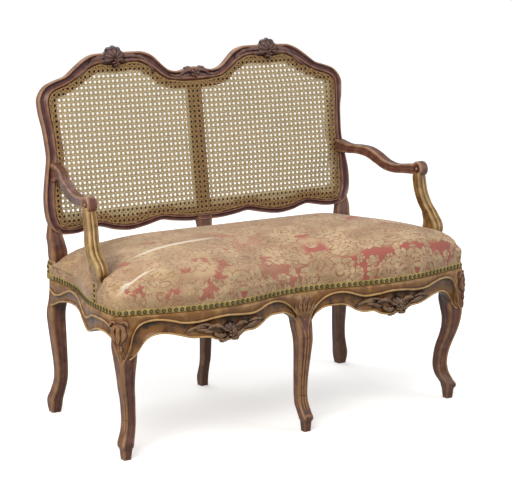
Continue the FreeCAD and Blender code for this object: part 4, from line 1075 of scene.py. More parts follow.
def add_reed(shape, line, radius, sides=8):
    """A slim raised bead along a line of places in millimetres, tapered at its ends."""
    stations = flow(line, 8 * len(line))

    def place(row, column):
        here = Vector(stations[row])
        ahead = Vector(stations[min(row + 1, len(stations) - 1)]) - Vector(stations[max(row - 1, 0)])
        ahead.normalize()
        level = ahead.cross(Vector((0, 0, 1)))
        if level.length < 0.05:
            level = ahead.cross(Vector((0, 1, 0)))
        level.normalize()
        rise = level.cross(ahead)
        share = row / (len(stations) - 1)
        thick = radius * min(1.0, 0.25 + 8 * share, 0.25 + 8 * (1 - share))
        angle = 2 * math.pi * (column % sides) / sides
        return (here + level * math.cos(angle) * thick + rise * math.sin(angle) * thick) / 1000, 1.0

    add_grid(shape, len(stations) - 1, sides, place)


def leg_place(stations, height, u, v, lift=0.0):
    """A place on a leg's skin at a height, from shares of its section, lifted a little outwards."""
    lower = [station for station in stations if station[2] <= height][-1]
    upper = [station for station in stations if station[2] > height][0]
    t = (height - lower[2]) / (upper[2] - lower[2])
    t = ease(t) * 0.4 + t * 0.6
    x, y, _, half_u, half_v = (a + (b - a) * t for a, b in zip(lower, upper))
    return x + u * (half_u + lift), y + v * (half_v + lift), height


def carve_husk(shape, at, top):
    """A husk of three leaves with two bell flowers below it, cut down a leg's head."""
    for spine, width, rise in (
        ([(2, 0), (13, -12), (13, -32), (4, -50)], 14, 6),
        ([(0, 3), (0, -18), (0, -38), (0, -58)], 15, 8),
        ([(4, 2), (14, 6), (21, 0), (23, -10)], 9, 5),
        ([(0, -50), (3, -58), (2, -66), (0, -72)], 8, 5),
        ([(0, -70), (0, -78), (0, -86), (0, -92)], 6, 4),
    ):
        carve_pair(shape, at, [(u, top + v) for u, v in spine], width, rise, 2)


for side, name in SIDES:
    front_leg = bmesh.new()
    add_bar(front_leg, on_side(side, FRONT_LEG), 90, 48)
    toe_swell(front_leg, side * 501, -231.5, math.radians(-45 if side > 0 else -135))
    heights = (250, 225, 195, 165, 135, 105, 75, 52)
    front_reed = [(497, front_face(497) - 3.4, 316), (505, front_face(505) - 3.6, 288), (511, -261, 268)]
    front_reed += [leg_place(FRONT_LEG, h, 0.74, -0.96) for h in heights]
    add_reed(front_leg, on_side(side, front_reed), 2.5)
    side_reed = [(536, -230, 309), (535, -239, 297), (531.5, -247, 279)]
    side_reed += [leg_place(FRONT_LEG, h, 0.96, -0.74) for h in heights]
    add_reed(front_leg, on_side(side, side_reed), 2.5)

    def on_corner(u, v, height, side=side):
        """A place on the leg's outer corner, with height standing out from it."""
        spot = Vector((529.5, -253.5, v)) if v > 300 else Vector(leg_place(FRONT_LEG, v, 0.9, -0.9))
        sideways = Vector((0.7071, 0.7071, 0)) * u
        outwards = Vector((0.7071, -0.7071, 0)) * (height + 0.6 - 0.014 * u * u)
        place = spot + (sideways + outwards)
        return Vector((side * place.x, place.y, place.z)) / 1000

    carve_husk(front_leg, on_corner, 348)
    close_shape(front_leg)
    make_piece(
        "front_leg_" + name + "_cabriole", front_leg, leg_walnut, ["front_leg_" + name],
    )
    head = bmesh.new()
    corner_run = [p for p in plan_line if p[0] > 496 and p[1] < -232]

    def head_place(row, column, side=side, corner_run=corner_run):
        """The leg's head, as wide as the rails at its top and as slim as the leg further down."""
        x, y = corner_run[row]
        height = 366 - 104 * column / 14
        u, v = soft_square(math.atan2(y + 238, x - 506))
        low_x, low_y, _ = leg_place(FRONT_LEG, min(height, 363), u, v, 0.6)
        share = ease((318 - height) / 52)
        x = x + (low_x - x) * share
        y = y + (low_y - y) * share
        return Vector((side * x, y, height)) / 1000, 0.5 - 0.15 * share

    add_grid(head, len(corner_run) - 1, 14, head_place)
    bmesh.ops.recalc_face_normals(head, faces=head.faces)
    head_piece = make_piece("front_leg_" + name + "_head", head, rail_walnut)
    thicken(head_piece, "head depth", 0.006, -1)
centre_leg = bmesh.new()
add_bar(centre_leg, CENTRE_LEG, 90, 48)
toe_swell(centre_leg, 0, -274, math.radians(-90))
for side in (-1, 1):
    reed = [(23, front_face(23) - 3.6, 309), (14, front_face(14) - 4.0, 290), (8, -275, 272)]
    for height in (255, 230, 200, 165, 130, 100, 75, 52):
        reed.append((3.4 + 0.004 * height, leg_place(CENTRE_LEG, height, 0, -0.965)[1], height))
    add_reed(centre_leg, on_side(side, reed), 2.5)
    heights = (262, 240, 210, 175, 140, 105, 75, 52)
    edge_reed = [leg_place(CENTRE_LEG, height, 0.9, -0.9) for height in heights]
    add_reed(centre_leg, on_side(side, edge_reed), 2.0)


def on_centre(u, v, height):
    """A place on the centre leg's head, with height standing forwards."""
    return Vector((u, front_face(u) + 1.5 - height, v)) / 1000


for spine, width, rise in (
    ([(0, 298), (0, 314), (0, 334), (0, 353)], 15, 9),
    ([(3, 299), (9, 312), (14, 330), (16, 350)], 13, 8),
    ([(4, 300), (15, 309), (25, 322), (31, 342)], 12, 7),
    ([(0, 304), (0, 292), (0, 280), (0, 266)], 10, 6),
):
    carve_pair(centre_leg, on_centre, spine, width, rise, 2)
close_shape(centre_leg)
make_piece("front_leg_middle_cabriole", centre_leg, leg_walnut, ["front_leg_centre"])

# The arms are swept walnut bars. Each ends in a rolled knuckle with a small round boss on its
# sides, and stands on a whip-shaped support that is tenoned into the side rail.
arm_walnut = make_walnut(
    "walnut arms", (0.022, 0.008, 0.008), (0.130, 0.049, 0.034), (0.33, 0.19, 0.112), (5, 1, 1),
)
support_walnut = make_walnut(
    "walnut supports", (0.036, 0.017, 0.007), (0.215, 0.115, 0.036), (0.43, 0.29, 0.115), (6, 6, 1),
)
# The old arms aren't quite even: the left one is rooted further in and sweeps out lower
ARM_RIGHT = (
    (465, 240, 649, 13.5, 18.5), (465, 226, 648.5, 13.5, 17.5), (464, 205, 647, 13.5, 15.5),
    (466, 178, 646, 14, 13), (471, 145, 647.5, 14, 13), (478, 106.2, 643.5, 14.5, 14.6),
    (482, 71.2, 631.5, 15, 15.6), (487, 36.2, 616, 14.5, 14), (493, 1.2, 610, 14, 12.6),
    (501, -30.8, 612.5, 13.4, 13.2), (512, -66, 615, 11.5, 15),
)
ARM_LEFT = (
    (447, 240, 645, 13.5, 25), (447, 228, 645, 13.5, 24), (449, 208, 648, 13.5, 18),
    (457, 178, 649, 14, 14.5), (468, 145, 645, 14, 14), (483, 106.2, 636, 14, 14.5),
    (489, 71.2, 623, 14, 14.5), (493, 36.2, 612, 14, 13.8), (497, 1.2, 610, 14, 12.6),
    (503, -30.8, 612, 13.4, 13), (510, -66, 612, 11.5, 15),
)
SUPPORT = (
    (512, -138, 404, 6, 10), (512, -135, 428, 9, 14), (515, -134, 439, 13, 22),
    (517, -134, 448, 15.5, 29), (518.5, -134, 458, 16, 31), (520, -133, 471, 16, 28.5),
    (521, -127, 483, 16, 25), (521.5, -120, 492, 16, 21.5), (521.5, -114, 502, 15.5, 19),
    (517, -99, 524, 15, 16.8), (512, -87, 556, 14.5, 15.6), (511.5, -79, 590, 14, 15.5),
    (512, -78, 606, 13, 13),
)


def add_turning(shape, centre, profile, segments=40):
    """A round form about a level axis, from radii and places along the axis in millimetres."""

    def place(row, column):
        radius, along, wear_tone_and_painted_light = profile[column]
        angle = 2 * math.pi * (row % segments) / segments
        spoke = Vector((along, radius * math.cos(angle), radius * math.sin(angle)))
        return (Vector(centre) + spoke) / 1000, wear_tone_and_painted_light

    add_grid(shape, segments, len(profile) - 1, place)


half_knuckle = (
    (0, 14.2, 1.0), (2.6, 13.8, 1.0), (4.6, 12.2, 0.5), (5.6, 10.6, 0.0), (8, 10.4, 0.15),
    (12, 11.0, 0.5), (15.5, 12.8, 0.8), (18, 13.6, 1.0), (20, 12.6, 0.9), (21, 10.4, 0.7),
)
other_face = [(radius, -along, wear_tone_and_painted_light) for radius, along, wear_tone_and_painted_light in reversed(half_knuckle)]
knuckle_profile = list(half_knuckle) + [(21.3, 4, 0.45), (21.3, -4, 0.45)] + other_face
for side, name, stations, knuckle in (
    (1, "right", ARM_RIGHT, (515, -76.8, 616)),
    (-1, "left", ARM_LEFT, (511, -76.8, 612)),
):
    arm = bmesh.new()
    add_bar(arm, on_side(side, stations), 70, 40, upright=True)
    add_turning(arm, (side * knuckle[0], knuckle[1], knuckle[2]), knuckle_profile)
    close_shape(arm)
    make_piece("arm_" + name + "_scrolled", arm, arm_walnut, ["arm_" + name])
    support = bmesh.new()
    add_bar(support, on_side(side, SUPPORT), 50, 40)
    turned = [(x, y, z, v, v) for x, y, z, u, v in SUPPORT]
    heights = (448, 462, 478, 490, 505, 530, 555, 580, 596)
    front_edge = [leg_place(turned, height, 0, -0.97) for height in heights]
    add_reed(support, [(side * (x + 1), y, z) for x, y, z in front_edge], 2.6)
    close_shape(support)
    make_piece(
        "arm_support_" + name + "_whip", support, support_walnut, ["arm_support_" + name],
    )

# Strips of jute webbing are stretched over the seat rails and tacked down, woven over and under
# each other. They carry the hessian and the stuffing.
def make_weave_group():
    """Two crossed sets of threads, for webbing and hessian."""
    group, place, threads, leave = begin_group(
        "crossed threads", "Threads", "NodeSocketFloat", ("Raised",),
    )
    split = add_node(group.nodes, "ShaderNodeSeparateXYZ", place)
    waves = [calc("SINE", times(split.outputs[axis], threads)) for axis in "XY"]
    feed(leave, (times(times(*waves), 0.5, 0.5),))
    return group


weave_group = make_weave_group()


def make_jute(name, dark, pale, threads):
    """Plain jute, dark between its threads."""
    material, nodes, surface = begin_finish(name)
    raised = use_group(nodes, weave_group, threads)["Raised"]
    paint(surface, blend(raised, dark, pale), 0.9)
    raise_surface(surface, raised, 0.6, 0.0005)
    return material


webbing_jute = make_jute("jute webbing", (0.20, 0.14, 0.075), (0.42, 0.32, 0.19), 1600)
WEB_WIDTH = 50
WEB_PITCH = 72
WEB_FIRST_Y = -190


def add_strap(shape, start, end, sideways, over):
    """One strap between two places, waved over and under the straps that it crosses."""
    count = round(math.dist(start, end) / 12)

    def place(row, column):
        share = row / count
        x = start[0] + (end[0] - start[0]) * share + sideways[0] * WEB_WIDTH * (column / 6 - 0.5)
        y = start[1] + (end[1] - start[1]) * share + sideways[1] * WEB_WIDTH * (column / 6 - 0.5)
        along = x if sideways[1] else y
        wave = math.cos(math.pi * along / WEB_PITCH) * over
        return Vector((x, y, 406.5 + 0.9 * wave)) / 1000, 0.5

    add_grid(shape, count, 6, place)


lengthwise = bmesh.new()
for index in range(6):
    y = WEB_FIRST_Y + index * WEB_PITCH
    reach = 480 if index < 2 else 462
    add_strap(lengthwise, (-reach - 24, y), (reach + 24, y), (0, 1), (-1) ** index)
lengthwise_piece = make_piece(
    "webbing_long_straps", lengthwise, webbing_jute, ["webbing_lengthwise"],
)
crosswise = bmesh.new()
for index in range(-5, 6):
    x = index * WEB_PITCH
    front_end = front_face(x) + 16
    add_strap(crosswise, (x, front_end), (x, 222), (1, 0), (-1) ** (index + 1))
crosswise_piece = make_piece(
    "webbing_cross_straps", crosswise, webbing_jute, ["webbing_crosswise"],
)
for strap_piece in (lengthwise_piece, crosswise_piece):
    thicken(strap_piece, "strap thickness", 0.001)

# A sheet of hessian is tacked over the webbing, tight but sagging a little between the straps. It
# reaches to the rails all round and lies under the stuffing.
outline_table = {}


def seat_ring(inset):
    """The whole outline of the seat at an inset, from the rear left corner round the front."""
    if inset not in outline_table:
        right = half_plan(inset, 2)
        left = on_side(-1, right[:0:-1])
        rear_y = right[-1][1]
        rear = [(right[-1][0] * (1 - 2 * i / 40), rear_y) for i in range(1, 40)]
        outline_table[inset] = left + right + rear
    return outline_table[inset]


hessian_jute = make_jute("hessian", (0.24, 0.17, 0.09), (0.50, 0.39, 0.24), 2600)
hessian = bmesh.new()
hessian_ring = seat_ring(12)


def hessian_place(row, column):
    """A place of the hessian, on rings from the seat's middle out to the rails."""
    share = (column + 0.001) / 16
    x, y = hessian_ring[row % len(hessian_ring)]
    x = x * share
    y = -14.8 + (y + 14.8) * share
    x = max(min(x, 452), -452) if y > 195 else x
    sag = 0.5 * math.cos(math.pi * x / WEB_PITCH) * math.cos(math.pi * (y - WEB_FIRST_Y) / WEB_PITCH)
    return Vector((x, min(y, 222), 409.2 + 0.25 * sag)) / 1000, 0.5


add_grid(hessian, len(hessian_ring), 16, hessian_place)
bmesh.ops.remove_doubles(hessian, verts=hessian.verts, dist=0.00002)
bmesh.ops.recalc_face_normals(hessian, faces=hessian.faces)
hessian_piece = make_piece("hessian_sheet", hessian, hessian_jute, ["hessian"])
thicken(hessian_piece, "cloth thickness", 0.0006)

# The corner blocks and the bearer are plain beech, sawn and left unpolished. The rear rails and the
# muntin behind the cane are walnut like the seat rails. All of them keep the shapes of the source.
beech = make_walnut(
    "unpolished beech", (0.13, 0.085, 0.05), (0.33, 0.22, 0.125), (0.45, 0.33, 0.20), (8, 1, 8), 0.3,
)
blocks = ["corner_block_" + corner for corner in ("front_left", "front_right", "rear_left", "rear_right")]
for finish, names in (
    (beech, ["centre_bearer"] + blocks),
    (rail_walnut, ["rear_rail_left", "rear_rail_right", "back_muntin"]),
):
    for node_name in names:
        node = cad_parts[node_name]
        node.data.materials.clear()
        node.data.materials.append(finish)

# The seat is stuffed with hair and covered with a worn silk damask, rose and cream, that is drawn
# down over the rails and tacked along the ledge and round the feet of the arm supports.
edge_ring = seat_ring(0)[::2]


def edge_distance(x, y):
    """A soft distance to the seat's edge, rounded where two edges are equally near."""
    total = 0.0
    for px, py in edge_ring:
        total += 1 / ((x - px) ** 2 + (y - py) ** 2 + 4) ** 4
    return total ** -0.125 * 1.30


CROWN = (
    (0, 424), (10, 430), (22, 439), (42, 448), (70, 458), (110, 471), (160, 485), (200, 491),
    (250, 495), (330, 497),
)


def crown(distance):
    """The height of the crown by distance from the edge."""
    return height_at(CROWN, distance)


# Where the stuffing is pressed down: beside the arm supports and the rear posts, at the rear's
# middle, and in two places where it has sunk. Each has its x, y, depth and spread.
SIDE_HOLLOWS = [(508, -128, 22, 25), (496, -112, 9, 30), (462, 222, 24, 26)]
HOLLOWS = on_side(-1, SIDE_HOLLOWS) + on_side(1, SIDE_HOLLOWS) + [
    (0, 232, 10, 24), (-440, 180, 9, 75), (515, -40, 7, 45),
]


def press(x, y):
    """How far the stuffing is pressed down at a place."""
    low = 0.0
    for at_x, at_y, depth, spread in HOLLOWS:
        low += depth * math.exp(-((x - at_x) ** 2 + (y - at_y) ** 2) / (2 * spread * spread))
    return low


SIDE_WALL = ((5.5, 367), (4.2, 369), (4.6, 380), (3.2, 392), (2.2, 404), (2.6, 413), (5.5, 421))
INNER_STEPS = 40


def cover_place(row, column):
    """A place of the cover, from the lower edge up the sides and over the crown."""
    if column < len(SIDE_WALL):
        inset, height = SIDE_WALL[column]
        x, y = seat_ring(inset)[row % len(seat_ring(0))]
        lowered = 0.5 * press(x, y) * max(0, height - 392) / 29
        return Vector((x, y, height - lowered)) / 1000, 0.0
    share = (column - len(SIDE_WALL) + 1) / INNER_STEPS
    x, y = seat_ring(8)[row % len(seat_ring(0))]
    scale = 1 - share ** 1.15
    x = x * scale
    y = MIDDLE_Y + (y - MIDDLE_Y) * scale
    distance = edge_distance(x, y)
    tilt = -(y + 15) * math.tan(math.radians(2)) * min(1, distance / 25)
    return Vector((x, y, crown(distance) + tilt - press(x, y))) / 1000, 0.0


def join_places(across, along, up=0.0):
    """One place from its three parts."""
    return add_node(across.id_data.nodes, "ShaderNodeCombineXYZ", across, along, up).outputs[0]


def less(first, second):
    """One value less another."""
    return calc("SUBTRACT", first, second)


def larger(first, second):
    """The larger of two values."""
    return calc("MAXIMUM", first, second)


def line_at(value, width):
    """A thin soft line where a value passes nought."""
    return other(ramp(calc("ABSOLUTE", value), width * 0.4, width))


def other(share):
    """What is left of one whole."""
    return less(1.0, share)


def blossoms(across, along, size, petals, reach, lobe):
    """Scattered scalloped blossoms: the filled shapes, and the lines drawn in and round them."""
    tree = across.id_data
    cells = tree.nodes.new("ShaderNodeTexVoronoi")
    cells.voronoi_dimensions = "2D"
    cells.inputs["Scale"].default_value = 1 / size
    cells.inputs["Randomness"].default_value = 0.7
    tree.links.new(join_places(across, along), cells.inputs["Vector"])
    heart_x, heart_y, _ = add_node(tree.nodes, "ShaderNodeSeparateXYZ", cells.outputs["Position"]).outputs
    turn, growth, chance = add_node(tree.nodes, "ShaderNodeSeparateXYZ", cells.outputs["Color"]).outputs
    away = cells.outputs["Distance"]
    angle = calc("ARCTAN2", less(along, heart_y), less(across, heart_x))
    turned = times(angle, petals / 2, times(turn, 6.0))
    petal = calc("ABSOLUTE", calc("SINE", turned))
    size_here = times(growth, 0.14, reach - 0.07)
    rim = less(times(petal, lobe, size_here), away)
    middle_petal = calc("ABSOLUTE", calc("COSINE", turned))
    middle = less(times(middle_petal, lobe * 0.8, times(size_here, 0.58)), away)
    eye = less(times(petal, lobe * 0.3, 0.09), away)
    filled = ramp(rim, -0.006, 0.018)
    outer = times(filled, other(ramp(middle, -0.01, 0.01)))
    gaps = times(outer, other(ramp(petal, 0.06, 0.26)))
    hatch = calc("SINE", times(turned, 5.0))
    hatched = times(ramp(hatch, 0.55, 0.95), ramp(middle, 0.01, 0.05))
    hatched = times(hatched, other(ramp(middle, 0.10, 0.14)))
    drawn = larger(gaps, hatched)
    for value, width in ((rim, 0.026), (middle, 0.030), (eye, 0.034)):
        drawn = larger(drawn, line_at(value, width))
    return filled, drawn, chance


def painted_fold_highlight(x, y, start, end, bow, width):
    """A painted highlight along a fold from one place to another, bowed to one side."""
    length = math.dist(start, end)
    go_x = (end[0] - start[0]) / length
    go_y = (end[1] - start[1]) / length
    from_x = less(x, start[0])
    from_y = less(y, start[1])
    run = times(from_x, go_x, times(from_y, go_y))
    off = times(from_x, -go_y, times(from_y, go_x))
    share = calc("DIVIDE", run, length)
    arch = times(share, other(share))
    bent = times(arch, -4 * bow, off)
    ends = times(ramp(share, 0.0, 0.30), other(ramp(share, 0.65, 1.0)))
    return times(ends, line_at(bent, width))


ROSE_PATCHES = (
    ((-0.332, -0.031), 0.024, 0.010, 20), ((-0.459, -0.147), 0.026, 0.010, 30),
    ((-0.510, -0.300), 0.034, 0.011, 5), ((-0.300, -0.345), 0.034, 0.018, 70),
    ((-0.262, -0.300), 0.024, 0.012, 95), ((-0.238, -0.255), 0.030, 0.014, 80),
    ((-0.285, -0.215), 0.030, 0.008, -15), ((-0.345, -0.265), 0.018, 0.008, 20),
    ((-0.200, -0.150), 0.030, 0.007, -25), ((-0.400, -0.330), 0.034, 0.007, 25),
    ((-0.150, -0.060), 0.030, 0.007, 10), ((-0.100, -0.240), 0.030, 0.010, 60),
)


def rose_patch(across, along, centre, long, short, turn):
    """A patch where the rose ground shows through, an oval at a place, turned by degrees."""
    go_x = math.cos(math.radians(turn))
    go_y = math.sin(math.radians(turn))
    off_x = less(across, centre[0])
    off_y = less(along, centre[1])
    run = times(off_x, go_x / long, times(off_y, go_y / long))
    off = times(off_x, -go_y / short, times(off_y, go_x / short))
    return times(run, run, times(off, off))


def make_damask():
    """Rose satin ground with large cream blossoms and leaves, mirrored about upright lines."""
    material, nodes, surface = begin_finish("rose damask")
    place = nodes.new("ShaderNodeTexCoord").outputs["Object"]
    x, y, z = add_node(nodes, "ShaderNodeSeparateXYZ", place).outputs
    # The cloth hangs over the edge, so its drawing runs on downwards, and it's mirrored every 27 cm
    drop = less(z, 0.46)
    far_out = ramp(calc("ABSOLUTE", x), 0.40, 0.52)
    across = less(x, times(times(calc("SIGN", x), far_out), drop))
    along = calc("ADD", y, drop)
    folded = calc("PINGPONG", calc("ADD", across, 1.280), 0.27)
    # Large and small blossoms on bent lines, with sprigs between them
    bend_x = less(noise(join_places(folded, along), 17, 1), 0.5)
    bend_y = less(noise(join_places(along, folded), 19, 1), 0.5)
    leaf_x = times(bend_x, 0.055, folded)
    leaf_y = times(bend_y, 0.055, along)
    big, big_lines, _ = blossoms(leaf_x, leaf_y, 0.092, 13, 0.42, 0.095)
    small_x = times(leaf_y, 0.5, times(leaf_x, 1.3))
    small_y = times(leaf_x, -0.4, times(leaf_y, 0.8))
    small, small_lines, small_chance = blossoms(small_x, small_y, 0.046, 7, 0.31, 0.13)
    kept = ramp(small_chance, 0.16, 0.18)
    small = times(small, kept)
    small_lines = times(times(small_lines, kept), other(big))
    curls = calc("SINE", times(noise(join_places(leaf_x, leaf_y), 19, 0), 58.0))
    sprig_lines = times(ramp(curls, 0.80, 0.99), ramp(bend_x, -0.05, 0.06))
    cream_mask = larger(big, small)
    # Where the rose ground has worn away to cream, more of it at the left than at the right
    patches = noise(join_places(folded, along, 0.7), 7.5, 1)
    right_part = ramp(x, -0.26, 0.06)
    worn_left = times(other(right_part), ramp(patches, 0.29, 0.41))
    worn_right = times(right_part, ramp(patches, 0.455, 0.53))
    worn = times(larger(worn_left, worn_right), 0.88)
    torn_x = times(less(noise(join_places(across, along), 34, 3), 0.5), 0.085, across)
    torn_y = times(less(noise(join_places(along, across), 36, 3), 0.5), 0.085, along)
    nearest = 9.0
    for centre, long, short, turn in ROSE_PATCHES:
        nearest = calc("MINIMUM", rose_patch(torn_x, torn_y, centre, long, short, turn), nearest)
    shown = other(ramp(nearest, 0.7, 1.1))
    cream_share = times(larger(cream_mask, worn), times(shown, -0.85, 1.0))
    # The two colours, the ribs of the ground and the drawn lines
    ribs = calc("SINE", times(across, 1250.0))
    rose = blend(times(ribs, 0.22, 0.45), (0.265, 0.062, 0.044), (0.40, 0.112, 0.080))
    cream = blend(ramp(noise(place, 14, 3), 0.35, 0.65), (0.332, 0.224, 0.118), (0.460, 0.335, 0.188))
    pattern = blend(cream_share, rose, cream)
    lines = larger(larger(big_lines, small_lines), times(sprig_lines, 0.8))
    broken = ramp(noise(place, 60, 2), 0.30, 0.52)
    faint = times(right_part, 0.12, 0.80)
    drawn = blend(times(times(lines, broken), faint), pattern, (0.235, 0.072, 0.045))
    # Painted satin sheen, painted highlights along two folds, painted shade in the crumple at the left
    # support's foot, and soil
    satin = noise(join_places(times(across, 12.0), along), 120, 2)
    shaded = add_node(nodes, "ShaderNodeVectorMath", drawn)
    shaded.operation = "SCALE"
    surface.id_data.links.new(times(satin, 0.24, 0.88), shaded.inputs["Scale"])
    # Two pale lines along folds: painted highlights.
    front_fold = painted_fold_highlight(x, y, (-0.534, -0.243), (-0.410, -0.231), -0.005, 0.0052)
    long_fold = painted_fold_highlight(x, y, (-0.470, -0.156), (-0.120, -0.099), 0.009, 0.0090)
    shine = larger(front_fold, long_fold)
    beside = calc("ADD", x, 0.466)
    behind_it = calc("ADD", y, 0.094)
    near_foot = times(beside, 0.8, times(behind_it, -0.6))
    near_foot_y = times(beside, 0.24, times(behind_it, 0.32))
    foot_reach = calc("SQRT", times(near_foot, near_foot, times(near_foot_y, near_foot_y)))
    # The crumpled folds beside the left support's foot are painted dark: painted shade, mixed with the
    # soil.
    crumple_mark = other(ramp(foot_reach, 0.012, 0.038))
    crumple_folds_painted_shade = times(crumple_mark, ramp(noise(place, 75, 3, 1.2), 0.32, 0.54))
    soil = times(ramp(noise(place, 8, 4), 0.5, 0.75), 0.22)
    soil_and_painted_shade = blend(larger(soil, times(crumple_folds_painted_shade, 0.85)), shaded.outputs[0], (0.15, 0.085, 0.050))
    paint(surface, blend(times(shine, 0.85), soil_and_painted_shade, (0.66, 0.575, 0.46)), 0.66)
    surface.inputs["Sheen Weight"].default_value = 0.15
    surface.inputs["Sheen Roughness"].default_value = 0.4
    wrinkle = noise(join_places(x, times(y, 2.0)), 22, 3, 0.8)
    height = times(cream_share, 0.12, times(wrinkle, 0.5, times(shine, 1.2)))
    height = times(crumple_folds_painted_shade, -1.5, height)
    raise_surface(surface, times(satin, 0.06, height), 0.5, 0.002)
    return material


damask = make_damask()
cover = bmesh.new()
add_grid(cover, len(seat_ring(0)), len(SIDE_WALL) + INNER_STEPS - 1, cover_place)
close_shape(cover)
cover_piece = make_piece("seat_cover_damask", cover, damask, ["seat_cover", "stuffing"])


def relax_cover(piece, cap):
    """Blows the padded form up a little as cloth, so that it wrinkles where it is held."""
    mesh = piece.data
    remesh = piece.modifiers.new("even cloth", "REMESH")
    remesh.mode = "VOXEL"
    remesh.voxel_size = 0.006
    bpy.context.view_layer.objects.active = piece
    bpy.ops.object.modifier_apply(modifier=remesh.name)
    start = [vert.co.copy() for vert in mesh.vertices]
    held = piece.vertex_groups.new(name="tacked")
    held.add([v.index for v in mesh.vertices if v.co.z < 0.384], 1.0, "REPLACE")
    cloth = piece.modifiers.new("cloth", "CLOTH")
    settings = cloth.settings
    settings.use_pressure = True
    settings.uniform_pressure_force = 4
    settings.effector_weights.gravity = 0
    settings.vertex_group_mass = "tacked"
    settings.quality = 4
    settings.mass = 0.3
    settings.shrink_min = -0.03
    for frame_number in range(1, 21):
        bpy.context.scene.frame_set(frame_number)
    moved = piece.evaluated_get(bpy.context.evaluated_depsgraph_get())
    ends = [vert.co.copy() for vert in moved.data.vertices]
    piece.modifiers.remove(cloth)
    for vert, first, last in zip(mesh.vertices, start, ends):
        step = (last - first) * min(max((first.z - 0.404) / 0.03, 0.0), 1.0)
        if step.length > cap:
            step = step.normalized() * cap
        vert.co = first + step
    bpy.context.scene.frame_set(1)
    mesh.update()


relax_cover(cover_piece, 0.006)
cover_piece.data.polygons.foreach_set("use_smooth", [True] * len(cover_piece.data.polygons))

# Behind each arm support the cover ends in a small stiff corner beside the rear post. It's tacked
# along the rail and hidden by the braid at its edges.
for side, name in SIDES:
    corner = bmesh.new()

    def corner_place(row, column, side=side):
        """A place on the cover's end, from its lower edge up, a little rounded and wrinkled."""
        y = 196 + 36 * row / 10
        share = column / 12
        height = 367 + 49 * share
        rounded = 1.6 * math.sin(math.pi * share) - 4 * max(0.0, share - 0.8) / 0.2
        out = 478.0 + rounded - 0.5 * math.sin(share * 9 + row)
        return Vector((side * out, y, height)) / 1000, 0.0

    add_grid(corner, 10, 12, corner_place)
    corner_piece = make_piece("cover_corner_" + name, corner, damask)
    thicken(corner_piece, "cloth depth", 0.003, -side)

# A narrow olive gimp braid hides the tacked edge. It is glued and nailed down with small domed
# brass nails that have gone dark round their rims.
gimp_finish, gimp_nodes, gimp_surface = begin_finish("olive gimp")
gimp_wear = noise(gimp_nodes.new("ShaderNodeTexCoord").outputs["Object"], 30, 3)
gimp_pale = blend(ramp(gimp_wear, 0.35, 0.65), (0.33, 0.235, 0.070), (0.56, 0.42, 0.150))
# The braid is darker between its loops, where the mesh's shade value is low: painted shade.
paint(gimp_surface, blend(read_wear_tone_and_painted_light(gimp_nodes), (0.12, 0.09, 0.02), gimp_pale), 0.7)
nail_finish, nail_nodes, nail_surface = begin_finish("aged brass nails")
nail_colour = blend(read_wear_tone_and_painted_light(nail_nodes), (0.010, 0.007, 0.003), (0.21, 0.155, 0.055))
paint(nail_surface, nail_colour, 0.38, metallic=0.6)
GIMP_STEP = 1.4
NAIL_PITCH = 15.5
CORNER_NAIL_PITCH = 12.5


def even_line(line, step):
    """Places at even steps along a line of flat points, with the way it faces outwards."""
    count = round(sum(map(math.dist, line, line[1:])) / step)
    places = []
    for at, share, along in even_steps(line, count + 1):
        (x, y), (next_x, next_y) = line[at], line[at + 1]
        run = math.dist(line[at], line[at + 1]) or 1
        across_x = (next_x - x) / run
        across_y = (next_y - y) / run
        places.append((x + (next_x - x) * share, y + (next_y - y) * share, across_y, -across_x, along))
    return places


right_edge = half_plan(4.4, 4)
cloth_edge = on_side(-1, right_edge[:0:-1]) + right_edge
front_and_sides = [p for p in cloth_edge if p[1] < 207]
gimp = bmesh.new()


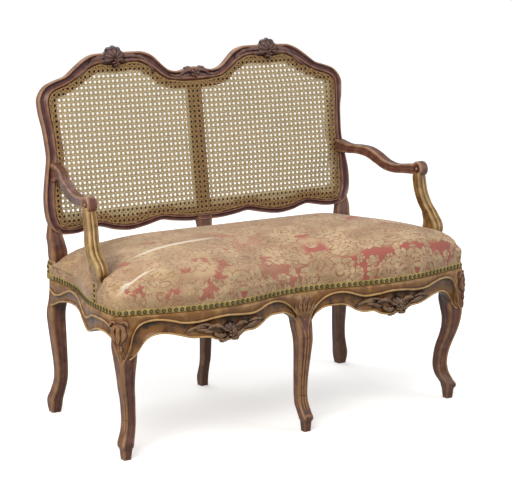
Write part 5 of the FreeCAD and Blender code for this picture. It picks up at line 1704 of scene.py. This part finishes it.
def add_gimp(places, low, high, upright=None):
    """A braid with looped edges along even places, level, or upright on the side that it's told."""

    def place(row, column):
        x, y, out_x, out_y, along = places[row]
        share = column / 5
        loops = math.sin(2 * math.pi * along / 6.5)
        edge = abs(share - 0.5) * 2
        up = low + (high - low) * share + (0.5 - share) * -1.2 * abs(loops) * edge
        stand = 1.0 + 1.3 * (1 - edge ** 4) + 0.35 * math.sin(2 * math.pi * (along / 3.2 + column * 0.5))
        shade = 0.55 + 0.45 * math.sin(2 * math.pi * (along / 3.2 + abs(column - 2.5) * 0.5))
        if upright:
            return Vector((x + upright * stand, y + (share - 0.5) * 11, along)) / 1000, shade
        return Vector((x + out_x * stand, y + out_y * stand, up)) / 1000, shade

    add_grid(gimp, len(places) - 1, 5, place)


add_gimp(even_line(cloth_edge, GIMP_STEP), 366.2, 381.0)
for side in (-1, 1):
    add_gimp([(side * 533.0, -142, 0, 0, 374 + GIMP_STEP * i) for i in range(40)], 0, 0, side)
    add_gimp([(side * 478.5, 226, 0, 0, 376 + GIMP_STEP * i) for i in range(24)], 0, 0, side)
    top_edge = on_side(side, [(476.5, 200), (476.5, 232)])[::side]
    add_gimp(even_line(top_edge, GIMP_STEP), 404, 415)
gimp_piece = make_piece("gimp_looped", gimp, gimp_finish, ["gimp_braid"])
thicken(gimp_piece, "braid thickness", 0.0008, -1)

nails = bmesh.new()


def add_nail(x, y, z, out_x, out_y, radius):
    """A domed head that faces outwards, bright on top and dark at the rim."""
    bright = nails.verts.layers.float.get("wear_tone_and_painted_light") or nails.verts.layers.float.new("wear_tone_and_painted_light")
    made = bmesh.ops.create_uvsphere(nails, u_segments=10, v_segments=6, radius=1)
    away = Vector((out_x, out_y, 0))
    level = Vector((-out_y, out_x, 0))
    centre = Vector((x, y, z))
    for vert in made["verts"]:
        height = max(vert.co.z, -0.2)
        vert[bright] = max(0.0, min(1.0, (height - 0.72) * 4.0))
        flat = level * vert.co.x * radius + Vector((0, 0, 1)) * vert.co.y * radius
        vert.co = (centre + flat + away * height * 2.6) / 1000


for x, y, out_x, out_y, _ in even_line(front_and_sides, NAIL_PITCH)[1:-1]:
    add_nail(x + out_x * 2.2, y + out_y * 2.2, 374.0, out_x, out_y, 5.4)
for side in (-1, 1):
    for step in range(4):
        add_nail(side * 535.2, -142, 386 + CORNER_NAIL_PITCH * step, side, 0, 4.6)
    for step in range(2):
        add_nail(side * 480.7, 226, 386 + CORNER_NAIL_PITCH * step, side, 0, 4.6)
        add_nail(side * 478.7, 222 - 13 * step, 409.5, side, 0, 4.6)
make_piece("nail_domes", nails, nail_finish, ["nail_heads"])
